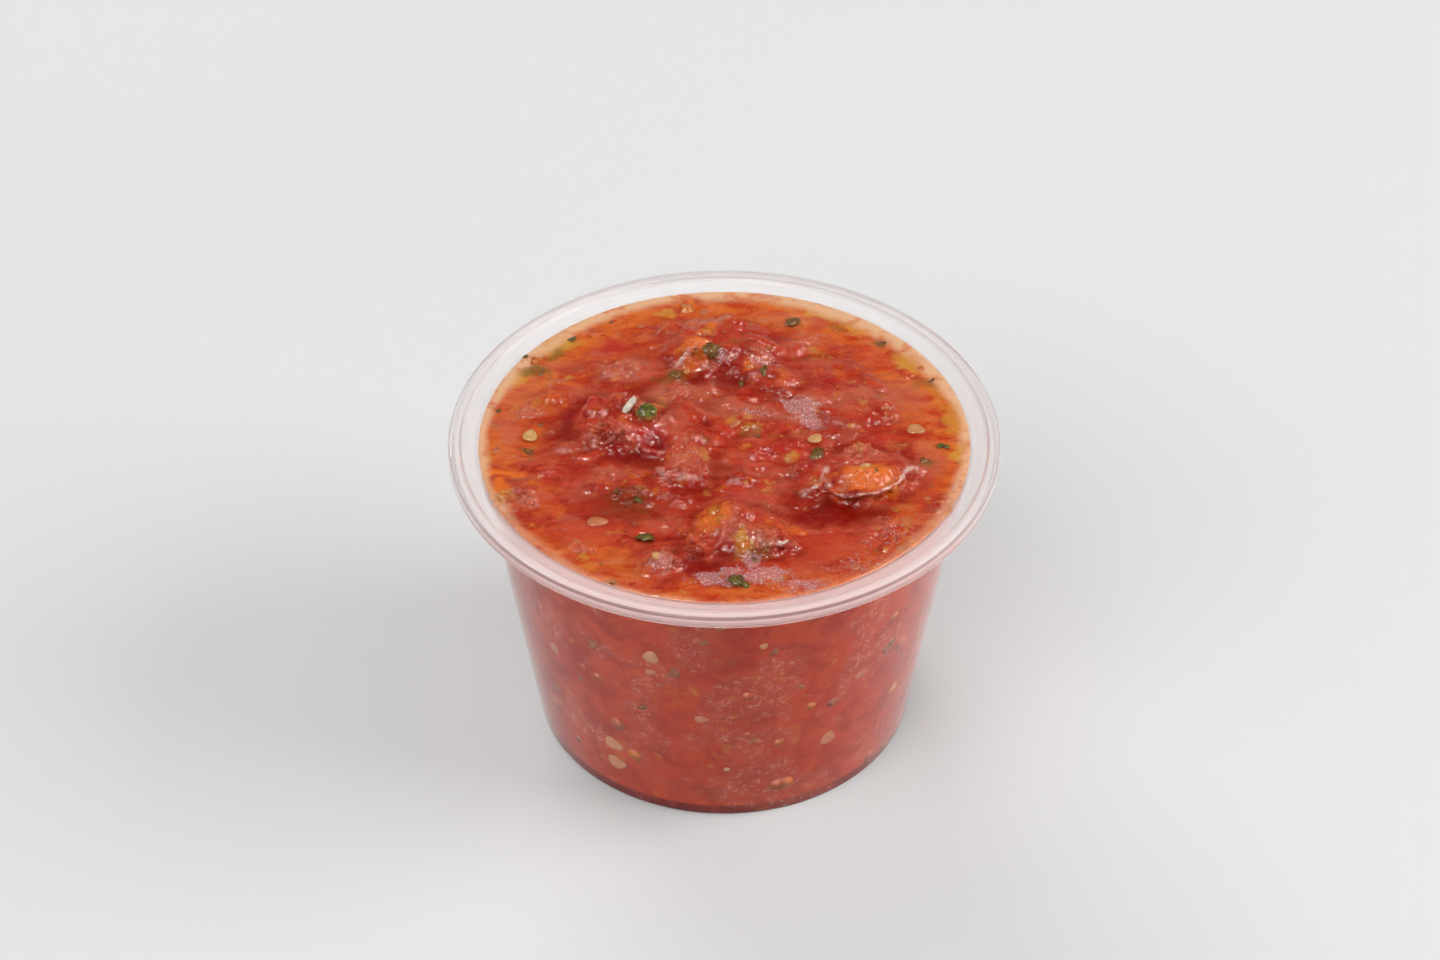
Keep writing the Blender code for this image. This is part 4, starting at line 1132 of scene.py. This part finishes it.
def fine_relief(vertices, normals):
    """Push the pulp in and out by fine folds, and where it is ruffled by more of them and grains."""
    x, y, z = vertices.T
    ruffled = ruffling(x, y)
    exposed = smooth_step(0.0, 0.6, z - LEVEL - juice_height(x, y))
    bent = vertices + 0.5 * flat_points(NOISE.layers(vertices + 11.0, 1.8, 1),
                                        NOISE.layers(vertices + 23.0, 1.8, 1))
    folds = NOISE.layers(bent * (0.6, 1.3, 1.2), 1.5, 1)
    creases = NOISE.layers(bent * (0.8, 1.2, 1.2) + 35.0, 0.8, 2)
    grains = NOISE.layers(bent + 60.0, 0.45, 1)
    push = ruffled * (1.00 * (0.3 - np.abs(folds)) + 0.75 * np.abs(creases) + 0.08 * grains - 0.2)
    push = push + exposed * (1 - ruffled) * (0.20 * folds + 0.12 * np.abs(creases))
    return vertices + normals * (push * (z > LEVEL - 0.6))[:, None]


def crust_skin(shells):
    """Join the shells into one skin, smooth it a little and return its mesh in millimetres."""
    rough = object_from("salad_rough", shells.points(), shells.faces, None)
    rough.data.transform(Matrix.Scale(1 / MM, 4))
    remesh = rough.modifiers.new("skin", "REMESH")
    remesh.mode = "VOXEL"
    remesh.voxel_size = VOXEL
    relax = rough.modifiers.new("relax", "SMOOTH")
    relax.factor = 0.5
    relax.iterations = 2
    depsgraph = bpy.context.evaluated_depsgraph_get()
    skin = bpy.data.meshes.new_from_object(rough.evaluated_get(depsgraph))
    bpy.data.objects.remove(rough, do_unlink=True)
    return skin


def salad_shells():
    """Gather the crust, the flakes and the lumps."""
    shells = Shells()
    shells.add(*core_shell())
    for lip_points, root, lip_height, _ in FLAKES:
        shells.add(*flake_shell(lip_points, root, lip_height))
    small, large = ball(2), ball(3)
    for number, lump in enumerate(LUMPS):
        shells.add(*lump_shell(*lump, LUMP_SHIFT * number, large))
    for number, lump in enumerate(small_lumps(random.Random(NOISE_SEED))):
        shells.add(*lump_shell(*lump, SMALL_LUMP_SHIFT + LUMP_SHIFT * number, small))
    return shells


def ruffled_edges(bm):
    """Return the edges in the ruffled places on top."""
    bm.verts.index_update()
    places = np.array([vert.co[:] for vert in bm.verts])
    ruffled = ruffling(places[:, 0], places[:, 1]) > FINE_FROM
    ruffled &= places[:, 2] > LEVEL - 0.5
    return [edge for edge in bm.edges if all(ruffled[vert.index] for vert in edge.verts)]


def fit_to_wall(points):
    """Move the points next to the wall onto it, and bring those beyond it back."""
    radius = np.hypot(points[:, 0], points[:, 1])
    side = wall_radius(points[:, 2])
    snap = (radius > side - 0.25) & (points[:, 2] < LEVEL - 0.1)
    points[snap, :2] *= (side[snap] / radius[snap])[:, None]
    limit = np.minimum(side, EDGE_RADIUS)
    out = radius > limit
    points[out, :2] *= (limit[out] / radius[out])[:, None]
    return points


def extend_down(bm):
    """Extend the skin down along the inside of the wall, and close it with a base."""
    border = [edge for edge in bm.edges if edge.is_boundary]
    heights = np.linspace(CUT_HEIGHT, SIDE_LOW, SIDE_RINGS + 1)[1:]
    steps = [(float(wall_radius(height)), float(height)) for height in heights]
    steps += [point for point in salad_outline()[1:] if point[1] < CUT_HEIGHT - 1.0][::-1]
    for radius, height in steps:
        made = bmesh.ops.extrude_edge_only(bm, edges=border)["geom"]
        border = [part for part in made if isinstance(part, bmesh.types.BMEdge)]
        for vert in (part for part in made if isinstance(part, bmesh.types.BMVert)):
            flat = Vector((vert.co.x, vert.co.y, 0)).normalized() * radius
            vert.co = (flat.x, flat.y, height)
    bmesh.ops.contextual_create(bm, geom=border)


def make_salad(surface):
    """Make the body of the salad: a fine skin on top, and the side and base below it."""
    skin = crust_skin(salad_shells())
    bm = bmesh.new()
    bm.from_mesh(skin)
    everything = list(bm.verts) + list(bm.edges) + list(bm.faces)
    bmesh.ops.bisect_plane(bm, geom=everything, plane_co=(0, 0, CUT_HEIGHT), plane_no=(0, 0, 1),
                           clear_inner=True, dist=0.001)
    bmesh.ops.subdivide_edges(bm, edges=ruffled_edges(bm), cuts=1, use_grid_fill=True)
    bm.normal_update()
    normals = np.array([vert.normal[:] for vert in bm.verts])
    placed = fine_relief(np.array([vert.co[:] for vert in bm.verts]), normals)
    for vert, place in zip(bm.verts, fit_to_wall(placed)):
        vert.co = place
    extend_down(bm)
    bmesh.ops.recalc_face_normals(bm, faces=bm.faces)
    bmesh.ops.transform(bm, matrix=Matrix.Scale(MM, 4), verts=bm.verts)
    bm.to_mesh(skin)
    bm.free()
    skin.name = "salad_body"
    skin.materials.clear()
    skin.materials.append(surface)
    skin.shade_smooth()
    salad = bpy.data.objects.new("salad_body", skin)
    bpy.context.scene.collection.objects.link(salad)
    paint(salad)
    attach(salad, "root")
    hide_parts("salad")
    return salad


def landing(tree, x, y):
    """Return the height of the finished surface at a place."""
    hit = tree.ray_cast(Vector((x * MM, y * MM, DROP_HEIGHT * MM)), Vector((0, 0, -1)))[0]
    return hit.z / MM


def seed_shape(length, rng):
    """Return a flat, slightly pointed seed, lying along X."""
    vertices, faces = ball(3)
    seed = vertices * length / 2
    point = 1 - 0.35 * np.clip(seed[:, 0] / length * 2, -1, 1)
    seed[:, 1] *= SEED_WIDTH * point * rng.uniform(0.9, 1.1)
    seed[:, 2] *= SEED_THICKNESS
    return seed, faces


def green_shape(size, rng):
    """Return a ragged green bit: a few thin, bent plates with uneven sides, on top of each other."""
    bm = bmesh.new()
    for _ in range(rng.randint(3, 5)):
        reach = rng.uniform(0.28, 0.5) * size
        made = bmesh.ops.create_cone(bm, cap_ends=True, segments=rng.randint(5, 8), radius1=reach,
                                     radius2=0.9 * reach, depth=0.16 * size)["verts"]
        for vert in made:
            vert.co.x *= 1.0 + rng.uniform(-0.35, 0.35)
            vert.co.y *= 0.7 + rng.uniform(-0.30, 0.30)
            vert.co.z += 0.10 * vert.co.x ** 2 / size + rng.uniform(-0.05, 0.05) * size
        spin = Euler((rng.uniform(-0.4, 0.4), rng.uniform(-0.4, 0.4), rng.uniform(0, 6.28)))
        shift = Vector((rng.uniform(-0.25, 0.25), rng.uniform(-0.2, 0.2), 0)) * size
        bmesh.ops.transform(bm, matrix=Matrix.Translation(shift) @ spin.to_matrix().to_4x4(),
                            verts=made)
    bmesh.ops.bevel(bm, geom=list(bm.edges), offset=0.03 * size, segments=2, affect="EDGES")
    return taken_from(bm)


def cube_shape(size, rng):
    """Return an uneven cut cube with rounded edges."""
    bm = bmesh.new()
    bmesh.ops.create_cube(bm, size=size)
    for vert in bm.verts:
        vert.co.z *= 0.75
        vert.co *= rng.uniform(0.8, 1.1)
    bmesh.ops.bevel(bm, geom=list(bm.edges), offset=0.16 * size, segments=3, affect="EDGES")
    vertices, faces = taken_from(bm)
    rough = NOISE.layers(vertices / size * 2.0, 1.0, 2)
    return vertices * (1 + 0.08 * rough)[:, None], faces


def turned_to(vertices, turn, tilt_x, tilt_y):
    """Turn points about X, Y and then Z, in degrees."""
    spin = Euler((math.radians(tilt_x), math.radians(tilt_y), math.radians(turn))).to_matrix()
    return vertices @ np.array(spin).T


def laid_on(tree, shape, x, y, lift, turn, tilt, rng):
    """Lay a bit on the surface, turned about Z and tilted at random by up to tilt degrees."""
    vertices, faces = shape
    vertices = turned_to(vertices, turn, rng.uniform(-tilt, tilt), rng.uniform(-tilt, tilt))
    return vertices + (x, y, landing(tree, x, y) + lift), faces


def behind_wall(shape, azimuth, height, turn):
    """Lay a flat bit against the inside of the wall at an azimuth and height."""
    vertices, faces = shape
    flat = turned_to(vertices * (1.0, 1.0, SIDE_FLATNESS), turn, 0, 0)
    upright = np.stack([-flat[:, 2], flat[:, 0], flat[:, 1]], axis=1)
    depth = np.maximum(-upright[:, 0], -SIDE_DEPTH)
    radius = wall_radius(height + upright[:, 2]) + SIDE_STAND_OUT + depth
    angle = math.radians(azimuth) + upright[:, 1] / float(wall_radius(height))
    return flat_points(radius * np.cos(angle), radius * np.sin(angle), height + upright[:, 2]), faces


def scatter(name, shells, surface):
    """Make one piece of all the shells of a kind."""
    made = object_from(name, shells.points(), shells.faces, surface)
    store(made.data, "veil", np.concatenate(shells.veils))
    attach(made, "root")


def make_seeds(tree):
    """Lay the seeds on the salad and behind the wall."""
    rng = random.Random(SEEDS_DRAW)
    shells = Shells()
    for x, y, length, turn, depth in SEEDS:
        lift = (0.08 - 0.35 * depth) * length
        seed = laid_on(tree, seed_shape(length, rng), x, y, lift, turn, SEED_TILT, rng)
        shells.add(*seed, 0.15 + 1.1 * depth)
    for azimuth, height, length, turn, veil in SIDE_SEEDS:
        shells.add(*behind_wall(seed_shape(length, rng), azimuth, height, turn), veil)
    scatter("seeds", shells, speckled_material(
        "seed", (0.66, 0.36, 0.12), (0.80, 0.56, 0.24), 0.3, 0.9, scatter=0.3))


def make_greens(tree):
    """Lay the green bits on the salad and behind the wall."""
    rng = random.Random(GREENS_DRAW)
    shells = Shells()
    for x, y, size, turn, depth in GREENS:
        lift = (0.05 - 0.3 * depth) * size
        green = laid_on(tree, green_shape(size, rng), x, y, lift, turn, GREEN_TILT, rng)
        shells.add(*green, 0.9 * depth)
    for azimuth, height, size, turn in SIDE_GREENS:
        green = behind_wall(green_shape(size, rng), azimuth, height, turn)
        shells.add(*green, rng.uniform(0.45, 0.8))
    scatter("green_bits", shells, speckled_material(
        "green_bit", (0.040, 0.045, 0.006), (0.15, 0.15, 0.020), 0.4, 0.8))


def make_dice(tree):
    """Set the orange and yellow bits in the salad, and scatter more of them behind the wall."""
    rng = random.Random(DICE_DRAW)
    shells = Shells()
    for x, y, size in DICE:
        die = cube_shape(size, rng)
        die = laid_on(tree, die, x, y, -DICE_SINK * size, rng.uniform(0, 90), DICE_TILT, rng)
        shells.add(*die, rng.uniform(0.1, 0.5))
    for _ in range(SIDE_PATCHES):
        die = cube_shape(rng.uniform(SMALLEST_PATCH, LARGEST_PATCH), rng)
        die = behind_wall(die, rng.uniform(-180, 180), rng.uniform(3.0, 41.0), rng.uniform(0, 180))
        shells.add(*die, rng.uniform(0.3, 0.9))
    scatter("orange_bits", shells, speckled_material(
        "orange_bit", (0.62, 0.14, 0.012), (0.76, 0.30, 0.03), 0.28, 1.4, scatter=0.3))


def make_chunk(tree):
    """Lay the largest green bit on the left mound."""
    vertices, faces = ball(4)
    rough = NOISE.layers(vertices * 1.6, 1.0, 3)
    vertices = vertices * CHUNK_RADII * (1 + 0.16 * rough)[:, None]
    place = (*CHUNK_PLACE, landing(tree, *CHUNK_PLACE) + CHUNK_LIFT)
    shells = Shells()
    shells.add(vertices + place, faces, np.clip(0.5 - vertices[:, 2], 0, 0.8))
    scatter("green_chunk", shells, speckled_material(
        "pepper", (0.055, 0.060, 0.008), (0.26, 0.24, 0.045), 0.25, 1.2, scatter=0.2))


def make_sliver(tree):
    """Stand the white sliver beside the largest green bit."""
    vertices, faces = cube_shape(1.0, random.Random(SLIVER_DRAW))
    vertices = turned_to(vertices * SLIVER_SIZE, *SLIVER_TURNS)
    place = (*SLIVER_PLACE, landing(tree, *SLIVER_PLACE) + SLIVER_LIFT)
    shells = Shells()
    shells.add(vertices + place, faces)
    scatter("white_sliver", shells, speckled_material(
        "onion", (0.74, 0.62, 0.48), (0.86, 0.80, 0.70), 0.25, 0.8, scatter=0.4))


def make_foam(tree):
    """Scatter the fine bubbles."""
    rng = random.Random(FOAM_DRAW)
    vertices, faces = ball(1)
    shells = Shells()
    for place in FOAM:
        for _ in range(place[5]):
            x, y = oval_place(place[:5], rng)
            if math.hypot(x, y) > EDGE_RADIUS - FOAM_MARGIN:
                continue
            size = SMALLEST_BUBBLE + BUBBLE_RANGE * rng.random() ** 3
            shells.add(vertices * size + (x, y, landing(tree, x, y) + 0.25 * size), faces)
    scatter("foam", shells, foam_material())


def area_light(name, azimuth, elevation, size, power, mirrored):
    """Add a soft light that faces the cup and is either only mirrored or only lights it."""
    data = bpy.data.lights.new(name, "AREA")
    data.shape = "SQUARE"
    data.size = size
    data.energy = power
    light = bpy.data.objects.new(name, data)
    turn, tilt = math.radians(azimuth), math.radians(elevation)
    direction = Vector((math.cos(tilt) * math.cos(turn), math.cos(tilt) * math.sin(turn),
                        math.sin(tilt)))
    light.location = direction * LIGHT_DISTANCE
    data.color = GLINT_COLOUR if mirrored else (1.0, 1.0, 1.0)
    light.visible_glossy = mirrored
    light.visible_diffuse = not mirrored
    light.visible_transmission = not mirrored
    light.rotation_euler = (-direction).to_track_quat("-Z", "Y").to_euler()
    bpy.context.scene.collection.objects.link(light)


def make_floor():
    """Lay a plain pale floor."""
    nodes = Nodes("pale_floor")
    shade = nodes.noise(nodes.coordinates(scale=1.0), 3.0, 2.0)
    tone = nodes.mix(shade, (0.79, 0.79, 0.79), (0.81, 0.81, 0.81))
    surface = nodes.finish(nodes.new("BsdfPrincipled", {
        "Base Color": tone, "Roughness": 0.9, "Specular IOR Level": 0.1}).outputs[0])
    corners = [(x * FLOOR_REACH, y * FLOOR_REACH, 0) for x, y in ((-1, -1), (1, -1), (1, 1), (-1, 1))]
    floor = object_from("floor", corners, [(0, 1, 2, 3)], surface, smooth=False)


def make_world():
    """Put a white world round the scene, dimmer in its light and in mirrors than it looks."""
    world = bpy.data.worlds.new("studio")
    world.use_nodes = True
    tree = world.node_tree
    path = tree.nodes.new("ShaderNodeLightPath").outputs
    lit = tree.nodes.new("ShaderNodeMapRange")
    lit.inputs["To Min"].default_value = WORLD_SEEN
    lit.inputs["To Max"].default_value = WORLD_LIGHT
    mirrored = tree.nodes.new("ShaderNodeMapRange")
    mirrored.inputs["To Max"].default_value = WORLD_MIRRORED
    background = tree.nodes["Background"].inputs
    background["Color"].default_value = (1.0, 1.0, 1.0, 1.0)
    tree.links.new(path["Is Diffuse Ray"], lit.inputs["Value"])
    tree.links.new(path["Is Glossy Ray"], mirrored.inputs["Value"])
    tree.links.new(lit.outputs["Result"], mirrored.inputs["To Min"])
    tree.links.new(mirrored.outputs["Result"], background["Strength"])
    bpy.context.scene.world = world


def make_lights():
    """Add the broad lights that light the scene and the small ones that are mirrored in it."""
    for light in LIGHTS:
        area_light(*light, mirrored=False)
    for light in GLINTS:
        area_light(*light, mirrored=True)


def make_camera():
    """Put the camera where the photograph was taken from."""
    data = bpy.data.cameras.new("camera")
    data.sensor_fit = "HORIZONTAL"
    data.angle = math.radians(FIELD_OF_VIEW)
    camera = bpy.data.objects.new("camera", data)
    tilt = math.radians(CAMERA_ELEVATION)
    target = Vector(CAMERA_TARGET) * MM
    back = Vector((0, -math.cos(tilt), math.sin(tilt)))
    camera.location = target + back * CAMERA_DISTANCE * MM
    camera.rotation_euler = (math.radians(90 - CAMERA_ELEVATION), 0, 0)
    bpy.context.scene.collection.objects.link(camera)
    bpy.context.scene.camera = camera


def main():
    """Build the whole scene."""
    make_camera()
    make_floor()
    make_world()
    make_lights()
    make_cup()
    salad = make_salad(salad_material())
    tree = BVHTree.FromObject(salad, bpy.context.evaluated_depsgraph_get())
    make_seeds(tree)
    make_greens(tree)
    make_dice(tree)
    make_chunk(tree)
    make_sliver(tree)
    make_foam(tree)
    bpy.context.scene.view_settings.view_transform = "Standard"


main()
bpy.context.view_layer.update()
